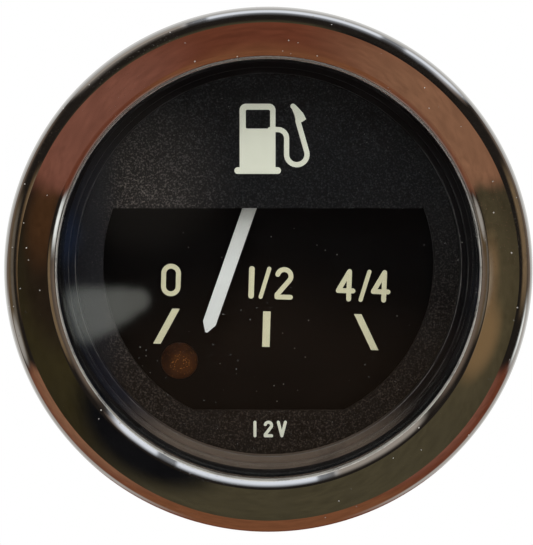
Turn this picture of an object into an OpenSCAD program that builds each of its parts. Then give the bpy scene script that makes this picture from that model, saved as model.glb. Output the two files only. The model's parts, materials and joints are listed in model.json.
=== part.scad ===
// Two inch fuel gauge for a dashboard: chrome bezel, masked dial, moving-iron movement,
// plug-in lamps and a clamp bracket at the back.
// The gauge's axis is Y and its face looks along -Y. The panel's front face is y = 0.

/* [Bezel] */
// Outer diameter of the bezel
bezel_d = 60; // [56:0.5:66]
// How far the bezel stands out past the barrel, which passes a 52 mm panel hole
bezel_lap = 4.1; // [3.5:0.1:5]
// Sheet thickness of the bezel
bezel_sheet = 0.55; // [0.45:0.05:0.7]
// Height of the bezel's ridge in front of the panel
bezel_h = 5.6; // [5.2:0.1:7.5]
// Outer radius of the rolled front rim
rim_roll_r = 1.6; // [1:0.1:2]
// Outer radius of the roll at the crimped rear edge
crimp_roll_r = 0.8; // [0.75:0.05:1.2]
// Outer radius of the bend from the cone into the lip
lip_bend_r = 0.6; // [0.6:0.05:0.75]
// Slope of the cone that leads in to the glass, in degrees
cone_slope = 26.5; // [18:0.5:32]
// Width of the glass rim that the lip covers
lip_cover = 0.75; // [0.65:0.05:1.2]
// Gap between the crimped edge and the barrel
crimp_gap = 0.7; // [0.3:0.1:1.2]

/* [Case] */
// Depth of the case behind the panel's front face
case_depth = 36; // [35:0.5:44]
// Sheet thickness of the case
case_sheet = 0.6; // [0.5:0.05:0.8]
// Outer radius of the bend into the back
back_bend_r = 2; // [1:0.25:3]
// Depth of the inward bead that the dial rests on
bead_depth = 1; // [0.6:0.1:1.2]
// Width of the bead, outside
bead_groove_w = 0.8; // [0.5:0.1:1.5]

/* [Glass, rings and mask] */
// Thickness of the glass
glass_t = 2; // [1.5:0.1:2.4]
// How far the glass stands in front of the case flange
glass_stand = 0.15; // [0.05:0.05:0.3]
// Thickness of the rubber gasket behind the glass
gasket_t = 0.5; // [0.3:0.1:1]
// Radial width of the gasket
gasket_w = 1.2; // [0.9:0.1:1.4]
// Thickness of the front spacer ring
front_ring_t = 2; // [1.4:0.1:2.4]
// Radial width of the front spacer ring, which frames the mask
front_ring_w = 2.55; // [2.1:0.05:3]
// Radial width of the step around the sight opening
ring_step_w = 0.7; // [0.4:0.1:1.1]
// Depth of that step below the ring's front
ring_step_depth = 0.9; // [0.4:0.1:1.1]
// Thickness of the mask plate
mask_t = 0.5; // [0.4:0.1:0.7]
// Width of the mask at either side of its window
mask_side_w = 3.1; // [2.1:0.1:4.5]
// Height of the mask above its window
mask_head_h = 15.8; // [14.5:0.1:17]
// Height of the mask below its window
mask_foot_h = 5.3; // [5.1:0.1:6.5]
// Height of the pump symbol
pump_h = 8.2; // [6:0.1:8.6]
// Height of the small figures at the bottom of the mask
rating_h = 2; // [1.4:0.1:2.4]
// Line width of the small figures
rating_w = 0.36; // [0.25:0.01:0.45]
// Thickness of the ring between the mask and the dial
rear_ring_t = 2.3; // [2.2:0.1:3]
// Radial width of that ring
rear_ring_w = 2.2; // [1:0.1:3]

/* [Dial] */
// Thickness of the dial plate
dial_t = 0.5; // [0.4:0.1:0.8]
// Turn of the dial and movement inside the case, clockwise from the front, in degrees
dial_turn = 1.73; // [0:0.01:1.9]
// Thickness of the printed figures, marks and symbol
ink_t = 0.05; // [0.03:0.01:0.1]
// Line width of the printed figures
figure_w = 0.58; // [0.4:0.02:0.7]
// Height of the printed figures
figure_h = 3.9; // [3:0.1:4.5]
// Height of the printed figures' middle below the gauge's axis
figure_drop = 2.4; // [1.5:0.1:3]
// Distance of the outer figures from the middle
figure_side = 11.6; // [10:0.1:12.5]
// Height of the scale marks
mark_h = 4.3; // [3:0.1:5]
// Width of the scale marks, level
mark_w = 0.9; // [0.6:0.05:1.2]
// Lean of the outer scale marks, in degrees
mark_lean = 27; // [20:0.5:32]
// Distance of the outer scale marks from the middle one
mark_side = 12; // [10:0.1:13]
// Depth of the scale marks' middle below the gauge's axis
mark_drop = 8; // [7:0.1:9]

/* [Pointer] */
// Distance of the pointer's pivot from the case's bore
pivot_inset = 11; // [10.5:0.1:11.5]
// Length of the pointer from its pivot to its tip
pointer_l = 23.8; // [20:0.1:24.5]
// Width of the pointer
pointer_w = 1.6; // [1.1:0.05:2]
// Thickness of the pointer
pointer_t = 0.4; // [0.3:0.05:0.5]
// Length of the pointer's tapered end
pointer_point_l = 1.15; // [0.6:0.05:2]
// Length of the pointer's tail
pointer_tail_l = 5.2; // [4.5:0.1:5.8]
// Lean of the pointer at rest from the dial's middle line, towards empty, in degrees
pointer_lean = 17.54; // [0:0.01:28]
// Gap between the mask and the pointer
pointer_gap = 0.95; // [0.8:0.05:1.1]
// Diameter of the pointer's spindle
spindle_d = 1; // [0.8:0.1:1.2]

/* [Movement] */
// Distance from the back of the dial to the movement frame
movement_gap = 12.5; // [12.3:0.1:13.5]
// Thickness of the movement frame
frame_t = 1.2; // [1:0.1:1.5]
// Gap between the movement frame's rounded top and the case's bore
frame_gap = 2.5; // [1.8:0.1:2.7]
// Depth of the flats that are cut from the movement frame's sides
frame_flat = 3.3; // [2.5:0.1:3.6]
// Distance from the pivot to the pole faces
pole_r = 4.2; // [4.1:0.1:4.8]
// Gap between the coils' lugs and the stud heads
coil_stud_gap = 0.65; // [0.6:0.05:2]
// Diameter of the bobbin flanges
bobbin_d = 9; // [8:0.1:9.2]
// Thickness of the bobbin flanges
bobbin_flange_t = 0.8; // [0.6:0.1:1.2]
// Diameter of the windings
winding_d = 8.2; // [6:0.1:8.4]
// Diameter of the iron cores
core_d = 3; // [2.4:0.1:3.4]
// Diameter of the pole shoes
shoe_d = 6.4; // [5:0.1:6.6]
// Thickness of the pole shoes
shoe_t = 0.8; // [0.5:0.1:1]
// Length of the iron armature along the spindle
armature_l = 5; // [4:0.25:6]
// Span of the iron armature across the spindle
armature_span = 7.2; // [5.5:0.1:7.6]
// Thickness of the bridge plate
bridge_t = 1; // [0.8:0.1:1.2]
// Distance from the back of the dial to the bridge plate
bridge_gap = 1.5; // [1.3:0.1:1.8]
// Height of the bridge pillars above the pivot
bridge_rise = 5.7; // [5.5:0.1:6]
// Distance of the bridge pillars from the middle
bridge_side = 4.5; // [3.5:0.1:5]
// Diameter of the turned pillars
pillar_d = 3.5; // [3:0.1:4]
// Distance of the dial pillars from the movement frame's rounded edge
dial_pillar_inset = 4; // [3:0.1:4.5]
// Angle of the dial pillars above the level line, in degrees
dial_pillar_angle = 41.8; // [38:0.2:44]

/* [Back] */
// Distance of the mounting studs from the case's bore
stud_inset = 9.8; // [9:0.1:10]
// Diameter of the studs' thread
stud_d = 4; // [3.5:0.5:4]
// Length of the studs behind the case
stud_l = 20.5; // [20:0.5:26]
// Distance of the terminals from the middle
terminal_side = 7.5; // [6.5:0.1:8.5]
// Distance of the terminals' level from the top of the case's bore
terminal_inset = 11.3; // [10:0.1:11.8]
// Width of the terminal blades
blade_w = 6.3; // [4.8:0.1:6.3]
// Thickness of the terminal blades
blade_t = 0.8; // [0.5:0.1:0.8]
// Length of the terminal blades
blade_l = 8; // [6:0.5:9]
// Distance of the earth terminal from the bottom of the case's bore
earth_inset = 5.9; // [5.5:0.1:7]

/* [Lamps] */
// Distance of the lamps from the case's bead
lamp_inset = 8.35; // [7.5:0.05:8.6]
// Angle of the lamps from straight down, in degrees
lamp_angle = 40.4; // [38:0.2:42]
// Diameter of the amber lens in the dial
lens_d = 4.4; // [3.6:0.1:4.8]
// Diameter of the lamp holders' sleeve
holder_d = 9.4; // [9:0.1:9.6]
// Diameter of the lamp holders' flange
holder_flange_d = 11.2; // [10.8:0.1:11.4]
// Depth of the lamp holders inside the case
holder_depth = 10; // [8:0.5:11]
// Diameter of the bulbs' metal base
bulb_base_d = 7; // [6:0.1:7.2]
// Length of the bulbs' glass in front of the base
bulb_glass_l = 9; // [7:0.5:10]
// Inner diameter of the reserve lamp's light tube
tube_bore_d = 10.6; // [10.2:0.1:10.8]
// Wall of the light tube
tube_wall = 0.6; // [0.5:0.1:0.8]

/* [Clamp] */
// Gap between the panel face and the bracket's feet at rest
panel_space = 6.5; // [5.5:0.1:6.5]
// Gap between the panel face and the feet when the clamp is tight
panel_least = 1.5; // [1.2:0.1:2.5]
// Width of the bracket
bracket_w = 10; // [8:0.5:10.4]
// Sheet thickness of the bracket
bracket_t = 1.5; // [1:0.1:1.6]
// Gap between the bracket's legs and the barrel
leg_gap = 1.1; // [1:0.1:1.4]
// Diameter of the knurled nuts
nut_d = 11; // [10:0.2:11]
// Height of the knurled nuts
nut_h = 8; // [6:0.5:9]
// Number of grooves around each knurled nut
knurls = 24; // [18:2:30]

/* [Clearances] */
// Gap around the glass, rings, mask and dial in the case
stack_gap = 0.15; // [0.1:0.05:0.3]
// Gap between the case flange and the roll of the bezel's crimp
flange_gap = 0.1; // [0.05:0.05:0.4]
// Gap around shafts that turn in their bearings
turn_gap = 0.05; // [0.03:0.01:0.1]
// Gap around pieces that push or screw in and stay there
fixed_gap = 0.02; // [0.01:0.01:0.05]
// Gap around screws and rivets that pass through holes
pass_gap = 0.15; // [0.1:0.05:0.25]

/* [Hidden] */
$fn = 72;

// Radii of the case and of what lies in it
bezel_r = bezel_d / 2;
barrel_r = bezel_r - bezel_lap;
bore_r = barrel_r - case_sheet;
stack_r = bore_r - stack_gap;
flange_r = bezel_r - crimp_roll_r - flange_gap;
sight_r = stack_r - front_ring_w;
bead_r = bore_r - bead_depth;
window_r = sight_r - mask_side_w;
window_top = sight_r - mask_head_h;
pump_x = -1.2;
pump_lift = 0.25;
window_bottom = sight_r - mask_foot_h;

// Stations along the axis, from front to back
flange_back = -bezel_sheet;
flange_front = flange_back - case_sheet;
glass_front = flange_front - glass_stand;
gasket_front = glass_front + glass_t;
ring_front = gasket_front + gasket_t;
mask_front = ring_front + front_ring_t;
rear_ring_front = mask_front + mask_t;
dial_front = rear_ring_front + rear_ring_t;
dial_back = dial_front + dial_t;
bead_back = dial_back + 2 * case_sheet + bead_groove_w;
bridge_front = dial_back + bridge_gap;
bridge_back = bridge_front + bridge_t;
frame_front = dial_back + movement_gap;
frame_back = frame_front + frame_t;
floor_y = case_depth - case_sheet;
bezel_cut_r = barrel_r + crimp_gap;

// Pointer and spindle
pivot_z = bore_r - pivot_inset;
pointer_front = rear_ring_front + pointer_gap;
pointer_back = pointer_front + pointer_t;
spindle_r = spindle_d / 2;
neck_r = 0.9;
boss_r = 1.7;
boss_t = 0.45;
spindle_front = pointer_front - 0.3;
tail_weight_r = 1.3;
tail_weight_t = 0.6;
tail_z = pointer_tail_l - tail_weight_r;
dial_pivot_hole_r = boss_r + 0.3;

// Mounting studs
stud_side = bore_r - stud_inset;
stud_r = stud_d / 2;
stud_head_r = stud_r + 1.2;
stud_head_t = 1.4;
stud_end = case_depth + stud_l;

// Coils: both axes point at the pivot from 45 degrees below it, and end short of the stud heads
coil_y = (bridge_back + frame_front) / 2;
coil_angles = [-45, 45];
stud_along = stud_side * sin(45) + pivot_z * cos(45);
bobbin_start = pole_r + shoe_t;
bobbin_end = stud_along - stud_head_r - coil_stud_gap - frame_t;
core_r = core_d / 2;
bobbin_tube_t = 0.55;
bobbin_tube_r = core_r + fixed_gap + bobbin_tube_t;
lead_r = 0.4;
lead_inset = 4;
lead_along = bobbin_end - lead_inset;
lead_bend = 3;
lead_hole_r = lead_r + 0.5;
lug_w = bobbin_d;
rivet_head_t = 0.5;

// Bearings, frame and resistor
bearing_r = 1.8;
bearing_lip_t = 0.5;
bearing_lip_r = bearing_r + 0.5;
resistor_z = 1.5;
resistor_rivet_r = 0.8;
resistor_rivet_head_r = resistor_rivet_r + 0.5;
card_w = 11;
card_h = 7;
card_t = 0.8;
wire_w = 2.8;
wire_t = 0.4;

// Fasteners
dial_screw_r = 0.8;
dial_screw_head_r = 1.6;
dial_screw_head_t = 0.7;
dial_screw_l = 4;
slot_w = 0.4;
slot_depth = 0.3;
pillar_rivet_r = 1.2;
pillar_rivet_head_r = pillar_rivet_r + 0.4;
spacer_wall = 1.2;
movement_nut_flats = 7;
movement_nut_t = 2.2;
frame_hole_play = 0.65;

// Terminals
insulator_t = 1.2;
inner_insulator_t = 0.8;
insulator_margin = 5;
rivet_r = 1.5;
rivet_flange_r = 2.4;
terminal_foot_h = 2 * (rivet_flange_r + pass_gap + blade_t);
terminal_rise = bore_r - terminal_inset;
earth_drop = bore_r - earth_inset;
tag_t = 0.4;
tag_w = 4;
tag_l = 8;
tag_eye_r = 0.5;
case_rivet_hole_r = rivet_r + 0.7;
blade_hole_r = 0.9;
terminal_front = case_depth + insulator_t;

// Lamps
lamp_side = (bead_r - lamp_inset) * sin(lamp_angle);
lamp_drop = (bead_r - lamp_inset) * cos(lamp_angle);
holder_r = holder_d / 2;
holder_bore_r = bulb_base_d / 2 + 0.1;
holder_flange_t = 1;
holder_flange_r = holder_flange_d / 2;
holder_cap_r = holder_r - 0.4;
holder_cap_l = 5;
holder_start = floor_y - holder_depth;
lamp_hole_r = holder_r + 2 * turn_gap;
base_front = holder_start - 1.5;
base_back = case_depth + holder_cap_l / 2;
bulb_r = bulb_base_d / 2 - 0.2;
bulb_front = base_front - bulb_glass_l;
lens_r = lens_d / 2;
lens_flange_r = lens_r + 1;
lens_flange_t = 0.8;
tube_front = dial_back + lens_flange_t;
tube_front_t = 0.8;
tube_r = tube_bore_d / 2 + tube_wall;

// Outline of the movement frame, whose lower edge clears the lamps
frame_r = bore_r - frame_gap;
frame_half_w = frame_r - frame_flat;
frame_lamp_gap = 0.6;
frame_low = tube_r + frame_lamp_gap - lamp_drop;
dial_pillar_side = (frame_r - dial_pillar_inset) * cos(dial_pillar_angle);
dial_pillar_rise = (frame_r - dial_pillar_inset) * sin(dial_pillar_angle);

// Clamp
bracket_gap = 0.5;
bracket_bend_r = 1.5;
foot_corner_r = 2.5;
bracket_travel = panel_space - panel_least;
web_front = case_depth + movement_nut_t + bracket_gap + bracket_travel;
web_back = web_front + bracket_t;
leg_in = barrel_r + leg_gap;
leg_out = leg_in + bracket_t;
washer_t = 0.8;
washer_r = 4.5;
nut_front = web_back + washer_t + turn_gap;
nut_collar_r = 4;
nut_collar_h = 2;
knurl_r = 0.35;

// Points of an arc around c, from angle a to angle b
function arc(c, r, a, b, n = 8) =
    [for (i = [0:n]) c + r * [cos(a + (b - a) * i / n), sin(a + (b - a) * i / n)]];

// Turns a profile, drawn as radius and station, around the gauge's axis
module lathe() {
    rotate([-90, 0, 0]) rotate_extrude() children();
}

// A plate drawn as seen from the front, from station y on, t thick
module plate(y, t) {
    translate([0, y + t, 0]) rotate([90, 0, 0]) linear_extrude(t) children();
}

// A round bar along the gauge's axis, from station a to station b
module rod(a, b, r) {
    plate(a, b - a) circle(r);
}

// A tube along the gauge's axis
module tube(a, b, r, bore) {
    plate(a, b - a) difference() {
        circle(r);
        circle(bore);
    }
}

// Turns a piece with the dial and movement inside the case
module with_dial() {
    rotate([0, dial_turn, 0]) children();
}

module at(x, z) {
    translate([x, 0, z]) children();
}

// Repeats a piece on both sides of the middle
module both_sides(x, z) {
    for (side = [-1, 1]) at(side * x, z) children();
}

// A flat line between two points, w wide, with round ends
module line(a, b, w) {
    step = b - a;
    translate(a) rotate(atan2(step.y, step.x)) translate([0, -w / 2]) square([norm(step), w]);
    for (p = [a, b]) translate(p) circle(d = w);
}

// A curved line of width w around c, from angle a to angle b, less than half a turn
module curve(c, r, w, a, b) {
    reach = 2 * (r + w);
    translate(c) intersection() {
        difference() {
            circle(r + w / 2);
            circle(r - w / 2);
        }
        polygon([[0, 0], reach * [cos(a), sin(a)], reach * [cos((a + b) / 2), sin((a + b) / 2)],
                 reach * [cos(b), sin(b)]]);
    }
}

module bezel() {
    rim = [bezel_r - rim_roll_r, rim_roll_r - bezel_h];
    crimp = [bezel_r - crimp_roll_r, -crimp_roll_r];
    lip_r = stack_r - lip_cover;
    cone = [cos(cone_slope), -sin(cone_slope)];
    normal = [sin(cone_slope), cos(cone_slope)];
    cone_top = rim - rim_roll_r * normal;
    lip_r0 = lip_r + lip_bend_r;
    cone_end = cone_top - cone * (cone_top.x - lip_r0 + lip_bend_r * normal.x) / cone.x;
    bend = cone_end + lip_bend_r * normal;
    lean = 270 - cone_slope;
    color("silver") lathe() polygon(concat(
        [[bezel_cut_r, 0]],
        arc(crimp, crimp_roll_r, 90, 0),
        arc(rim, rim_roll_r, 360, lean),
        arc(bend, lip_bend_r, lean, 180, 6),
        [[lip_r, glass_front], [lip_r + bezel_sheet, glass_front]],
        arc(bend, lip_bend_r - bezel_sheet, 180, lean, 2),
        arc(rim, rim_roll_r - bezel_sheet, lean, 360),
        arc(crimp, crimp_roll_r - bezel_sheet, 0, 90, 4),
        [[bezel_cut_r, flange_back]]
    ));
}

module glass_lens() {
    edge = 0.15;
    color([0.75, 0.85, 0.85, 0.35]) lathe() polygon([
        [0, glass_front], [stack_r - edge, glass_front], [stack_r, glass_front + edge],
        [stack_r, gasket_front - edge], [stack_r - edge, gasket_front], [0, gasket_front]
    ]);
}

module lens_gasket() {
    color([0.08, 0.08, 0.08]) tube(gasket_front, ring_front, stack_r, stack_r - gasket_w);
}

module front_spacer_ring() {
    color([0.1, 0.1, 0.1]) {
        tube(ring_front, mask_front, stack_r, sight_r + ring_step_w);
        tube(ring_front + ring_step_depth, mask_front, sight_r + ring_step_w, sight_r);
    }
}

module window_shape() {
    intersection() {
        circle(window_r);
        translate([-window_r, -window_bottom]) square([2 * window_r, window_top + window_bottom]);
    }
}

module mask_plate() {
    color([0.13, 0.13, 0.13]) plate(mask_front, mask_t) difference() {
        circle(stack_r);
        window_shape();
    }
}

// A fuel pump with its hose and nozzle, drawn from its own middle 8.2 mm high
module pump_shape() {
    body = [[-2.17, -3.35], [-2.08, 4.1]];
    body_w = 4.2;
    corner_r = 0.75;
    window = [2.85, 2.2];
    window_corner_r = 0.2;
    window_at = [-1.45, 1.2];
    foot_w = 0.78;
    foot_z = -3.72;
    foot_ends = [-2.4, 2.29];
    hose_w = 0.61;
    hose_z = 1.08;
    hose_start = 1.4;
    drop = [3.33, 0.05];
    drop_r = 1.02;
    bend = [4.53, -1.83];
    bend_r = bend.x - drop.x;
    lean = 14.7;
    rise = bend + bend_r * [cos(lean), sin(lean)];
    rise_end = [4.65, 2.1];
    nozzle = [[4.51, 1.78], [5.16, 1.98], [5.61, 2.3], [5.26, 3.01], [4.38, 3.96], [3.8, 3.68], [3.96, 3.48],
              [4.24, 2.8]];
    tip = [4.07, 3.8];
    tip_r = 0.3;
    difference() {
        union() {
            translate([body.x.x, body.x.y]) square([body_w, body.y.y - body.x.y - corner_r]);
            translate([body.x.x + corner_r, body.x.y])
                square([body_w - 2 * corner_r, body.y.y - body.x.y]);
            for (x = [corner_r, body_w - corner_r])
                translate([body.x.x + x, body.y.y - corner_r]) circle(corner_r);
        }
        translate(window_at) rounded_square(window, window_corner_r);
    }
    line([foot_ends.x, foot_z], [foot_ends.y, foot_z], foot_w);
    line([hose_start, hose_z], [drop.x - drop_r, hose_z], hose_w);
    curve([drop.x - drop_r, hose_z - drop_r], drop_r, hose_w, 0, 90);
    line([drop.x, hose_z - drop_r], [drop.x, bend.y], hose_w);
    curve(bend, bend_r, hose_w, 180, 270);
    curve(bend, bend_r, hose_w, 270, 360 + lean);
    line(rise, rise_end, hose_w);
    polygon(nozzle);
    translate(tip) circle(tip_r);
}

// A rectangle from the origin on, with round corners
module rounded_square(size, r) {
    translate([r, 0]) square([size.x - 2 * r, size.y]);
    translate([0, r]) square([size.x, size.y - 2 * r]);
    for (x = [r, size.x - r], y = [r, size.y - r]) translate([x, y]) circle(r);
}

module pump_symbol() {
    drawn_h = 8.2;
    color([0.77, 0.77, 0.7]) plate(mask_front - ink_t, ink_t)
        translate([pump_x, (window_top + sight_r) / 2 + pump_lift]) scale(pump_h / drawn_h)
            pump_shape();
}

// The figures are h high and stand around their own middle
module figure_zero(h, w) {
    half = h * 0.3 - w / 2;
    top = h / 2 - w / 2 - half;
    for (side = [0, 180]) rotate(side) {
        translate([0, top]) {
            curve([0, 0], half, w, 0, 90);
            curve([0, 0], half, w, 90, 180);
        }
        line([half, -top], [half, top], w);
    }
}

module figure_one(h, w) {
    line([0, w / 2 - h / 2], [0, h / 2 - w / 2], w);
}

module figure_slash(h, w) {
    run = h * 0.12;
    line([-run, w / 2 - h / 2], [run, h / 2 - w / 2], w);
}

module figure_two(h, w) {
    r = h * 0.28 - w / 2;
    top = [0, h / 2 - w / 2 - r];
    foot = [-r, w / 2 - h / 2];
    curve(top, r, w, 0, 100);
    curve(top, r, w, 100, 165);
    curve(top, r, w, -40, 0);
    translate(top + r * [cos(165), sin(165)]) circle(d = w);
    line(top + r * [cos(-40), sin(-40)], foot + [0, h * 0.07], w);
    line(foot + [0, h * 0.07], foot, w);
    line(foot, [r, foot.y], w);
}

module figure_four(h, w) {
    half = h * 0.3 - w / 2;
    stem_x = half * 0.45;
    bar_z = -h * 0.17;
    line([stem_x, w / 2 - h / 2], [stem_x, h / 2 - w / 2], w);
    line([stem_x, h / 2 - w / 2], [-half, bar_z], w);
    line([-half, bar_z], [half, bar_z], w);
}

module figure_volt(h, w) {
    half = h * 0.3 - w / 2;
    line([-half, h / 2 - w / 2], [0, w / 2 - h / 2], w);
    line([half, h / 2 - w / 2], [0, w / 2 - h / 2], w);
}

module dial_figures() {
    pitch = figure_h * 0.5;
    inner = 2.25;
    slash_w = figure_w * 0.85;
    color([0.76, 0.76, 0.66]) with_dial() plate(dial_front - ink_t, ink_t) translate([0, -figure_drop]) {
        translate([-figure_side, 0]) figure_zero(figure_h, figure_w);
        translate([-pitch, 0]) figure_one(figure_h, figure_w * 1.15);
        translate([-0.34, 0]) figure_slash(figure_h, slash_w);
        translate([pitch, 0]) figure_two(figure_h, figure_w);
        translate([figure_side - inner, 0]) figure_four(figure_h, figure_w);
        translate([figure_side + 0.05, 0]) figure_slash(figure_h, slash_w);
        translate([figure_side + inner - 0.3, 0]) figure_four(figure_h, figure_w);
    }
}

module rating_figures() {
    pitch = rating_h * 0.8;
    rating_z = -(window_bottom + sight_r) / 2 + 0.4;
    color([0.77, 0.77, 0.7]) plate(mask_front - ink_t, ink_t) translate([0, rating_z]) {
        translate([-pitch, 0]) figure_one(rating_h, rating_w);
        figure_two(rating_h, rating_w);
        translate([pitch, 0]) figure_volt(rating_h, rating_w);
    }
}

module dial_marks() {
    color([0.76, 0.76, 0.66]) with_dial() plate(dial_front - ink_t, ink_t)
        for (side = [-1, 0, 1]) {
            run = side * mark_h * tan(mark_lean) / 2;
            translate([side * mark_side, -mark_drop]) polygon([
                [-run - mark_w / 2, mark_h / 2], [-run + mark_w / 2, mark_h / 2],
                [run + mark_w / 2, -mark_h / 2], [run - mark_w / 2, -mark_h / 2]
            ]);
        }
}

module dial_plate() {
    color([0.05, 0.05, 0.05]) with_dial() plate(dial_front, dial_t) difference() {
        circle(stack_r);
        translate([0, pivot_z]) circle(dial_pivot_hole_r);
        translate([-lamp_side, -lamp_drop]) circle(lens_r + fixed_gap);
        for (side = [-1, 1])
            translate([side * dial_pillar_side, dial_pillar_rise]) circle(dial_screw_r + pass_gap);
    }
}

// A slotted cheese-head screw whose head stands in front of station y
module cheese_screw(y, head_r, head_t, r, l) {
    difference() {
        rod(y - head_t, y, head_r);
        plate(y - head_t, slot_depth) square([3 * head_r, slot_w], center = true);
    }
    rod(y, y + l, r);
}

module dial_screws() {
    color("gainsboro") with_dial() both_sides(dial_pillar_side, dial_pillar_rise)
        cheese_screw(dial_front, dial_screw_head_r, dial_screw_head_t, dial_screw_r, dial_screw_l);
}

// A pillar that stands on the movement frame and is riveted through it
module pillar(start) {
    difference() {
        rod(start, frame_front, pillar_d / 2);
        rod(start, start + dial_screw_l, dial_screw_r + fixed_gap);
    }
    rod(frame_front, frame_back + rivet_head_t, pillar_rivet_r);
    rod(frame_back, frame_back + rivet_head_t, pillar_rivet_head_r);
}

module dial_pillars() {
    color("goldenrod") with_dial() both_sides(dial_pillar_side, dial_pillar_rise) pillar(dial_back);
}

module rear_spacer_ring() {
    color([0.1, 0.1, 0.1]) tube(rear_ring_front, dial_front, stack_r, stack_r - rear_ring_w);
}

module reserve_lens() {
    color("chocolate") with_dial() at(-lamp_side, -lamp_drop) {
        rod(dial_front, dial_back, lens_r);
        rod(dial_back, tube_front, lens_flange_r);
    }
}

module reserve_light_tube() {
    color([0.16, 0.15, 0.14]) with_dial() at(-lamp_side, -lamp_drop) {
        tube(tube_front, tube_front + tube_front_t, tube_r, lens_r);
        tube(tube_front + tube_front_t, floor_y, tube_r, tube_bore_d / 2);
    }
}

// Places a piece on the pointer, which is drawn hanging straight down from its pivot
module on_pointer() {
    with_dial() at(0, pivot_z) rotate([0, pointer_lean, 0]) children();
}

module pointer() {
    shoulder = pointer_l - pointer_point_l;
    half = pointer_w / 2;
    off_centre = 0.12;
    color([0.78, 0.79, 0.77]) on_pointer() difference() {
        union() {
            plate(pointer_front, pointer_t) polygon([
                [-half, tail_z], [half, tail_z], [half, -shoulder],
                [off_centre, -pointer_l], [-off_centre, -pointer_l], [-half, -shoulder]
            ]);
            rod(pointer_front, pointer_back, boss_r);
            at(0, tail_z) rod(pointer_front, pointer_back, tail_weight_r);
        }
        rod(pointer_front - 1, pointer_back + 1, neck_r + fixed_gap);
    }
}

module pointer_boss() {
    color("goldenrod") on_pointer() {
        tube(pointer_front - 0.15, pointer_back, neck_r, spindle_r + fixed_gap);
        tube(pointer_back, pointer_back + boss_t, boss_r, spindle_r + fixed_gap);
    }
}

module pointer_spindle() {
    color("lightsteelblue") on_pointer() rod(spindle_front, frame_back + 0.6, spindle_r);
}

module pointer_counterweight() {
    color("goldenrod") on_pointer() at(0, tail_z)
        rod(pointer_back, pointer_back + tail_weight_t, tail_weight_r);
}

module armature() {
    hub_r = 1.5;
    vane_w = 2.6;
    start = coil_y - armature_l / 2;
    color("dimgray") on_pointer() plate(start, armature_l) difference() {
        union() {
            circle(hub_r);
            intersection() {
                square([vane_w, armature_span], center = true);
                circle(armature_span / 2);
            }
        }
        circle(spindle_r + fixed_gap);
    }
}

// Lays a piece that is drawn along Y on a coil's axis, with the pivot at y = 0
module along_coil(angle) {
    with_dial() at(0, pivot_z) translate([0, coil_y, 0]) rotate([0, angle, 0]) rotate([-90, 0, 0]) children();
}

module bobbin(angle) {
    color([0.85, 0.8, 0.68]) along_coil(angle) {
        tube(bobbin_start, bobbin_end, bobbin_tube_r, core_r + fixed_gap);
        tube(bobbin_start, bobbin_start + bobbin_flange_t, bobbin_d / 2, bobbin_tube_r);
        tube(bobbin_end - bobbin_flange_t, bobbin_end, bobbin_d / 2, bobbin_tube_r);
    }
}

module winding(angle) {
    color("sienna") along_coil(angle)
        tube(bobbin_start + bobbin_flange_t, bobbin_end - bobbin_flange_t,
             winding_d / 2, bobbin_tube_r + fixed_gap);
}

module core(angle) {
    lug_end = bobbin_end + frame_t;
    color("gray") along_coil(angle) {
        rod(pole_r, bobbin_start, shoe_d / 2);
        rod(bobbin_start, lug_end + rivet_head_t, core_r);
        rod(lug_end, lug_end + rivet_head_t, core_r + 0.6);
    }
}

module movement_frame() {
    color("lightgray") {
        with_dial() plate(frame_front, frame_t) difference() {
            intersection() {
                circle(frame_r);
                translate([-frame_half_w, frame_low]) square([2 * frame_half_w, 2 * frame_r]);
            }
            translate([0, pivot_z]) circle(bearing_r + fixed_gap);
            for (side = [-1, 1]) {
                translate([side * stud_side, 0]) circle(stud_r + frame_hole_play);
                translate([side * dial_pillar_side, dial_pillar_rise])
                    circle(pillar_rivet_r + fixed_gap);
                translate([side * bridge_side, pivot_z + bridge_rise])
                    circle(pillar_rivet_r + fixed_gap);
            }
            translate([0, resistor_z]) circle(resistor_rivet_r + fixed_gap);
            for (angle = coil_angles) translate(coil_point(angle, lead_along)) circle(lead_hole_r);
        }
        for (angle = coil_angles) lug(angle);
    }
}

// Where a coil's axis lies, at a distance from the pivot, as the dial is drawn
function coil_point(angle, along) = [-along * sin(angle), pivot_z - along * cos(angle)];

// A point of the dial's drawing after the dial is turned in the case
function turned(p) =
    [p.x * cos(dial_turn) + p.y * sin(dial_turn), p.y * cos(dial_turn) - p.x * sin(dial_turn)];

// A straight length of wire between two points
module wire(a, b, r) {
    hull() for (p = [a, b]) translate(p) sphere(r, $fn = 8);
}

// One coil's lead: out of the winding, back through the frame and into the eye of its solder tag
module coil_lead(angle) {
    start = turned(coil_point(angle, lead_along));
    eye = [-sign(angle) * terminal_side, terminal_rise - tag_l];
    tag_back = floor_y - inner_insulator_t;
    points = [
        [start.x, coil_y + winding_d / 2 + lead_r + fixed_gap, start.y],
        [start.x, frame_back + lead_bend, start.y],
        [eye.x, tag_back - lead_bend, eye.y],
        [eye.x, tag_back - lead_r, eye.y]
    ];
    for (i = [0:2]) wire(points[i], points[i + 1], lead_r);
}

module coil_leads() {
    color("darkred") for (angle = coil_angles) coil_lead(angle);
}

// A lug bent up from the frame, which carries the outer end of a coil
module lug(angle) {
    front = coil_y - bobbin_d / 2;
    with_dial() at(0, pivot_z) rotate([0, angle, 0]) difference() {
        translate([-lug_w / 2, front, -bobbin_end - frame_t])
            cube([lug_w, frame_front - front, frame_t]);
        translate([0, coil_y, -bobbin_end - 2 * frame_t]) cylinder(r = core_r + fixed_gap, h = 4 * frame_t);
    }
}

module bearing(a, b) {
    tube(a, b, bearing_r, spindle_r + turn_gap);
}

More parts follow.
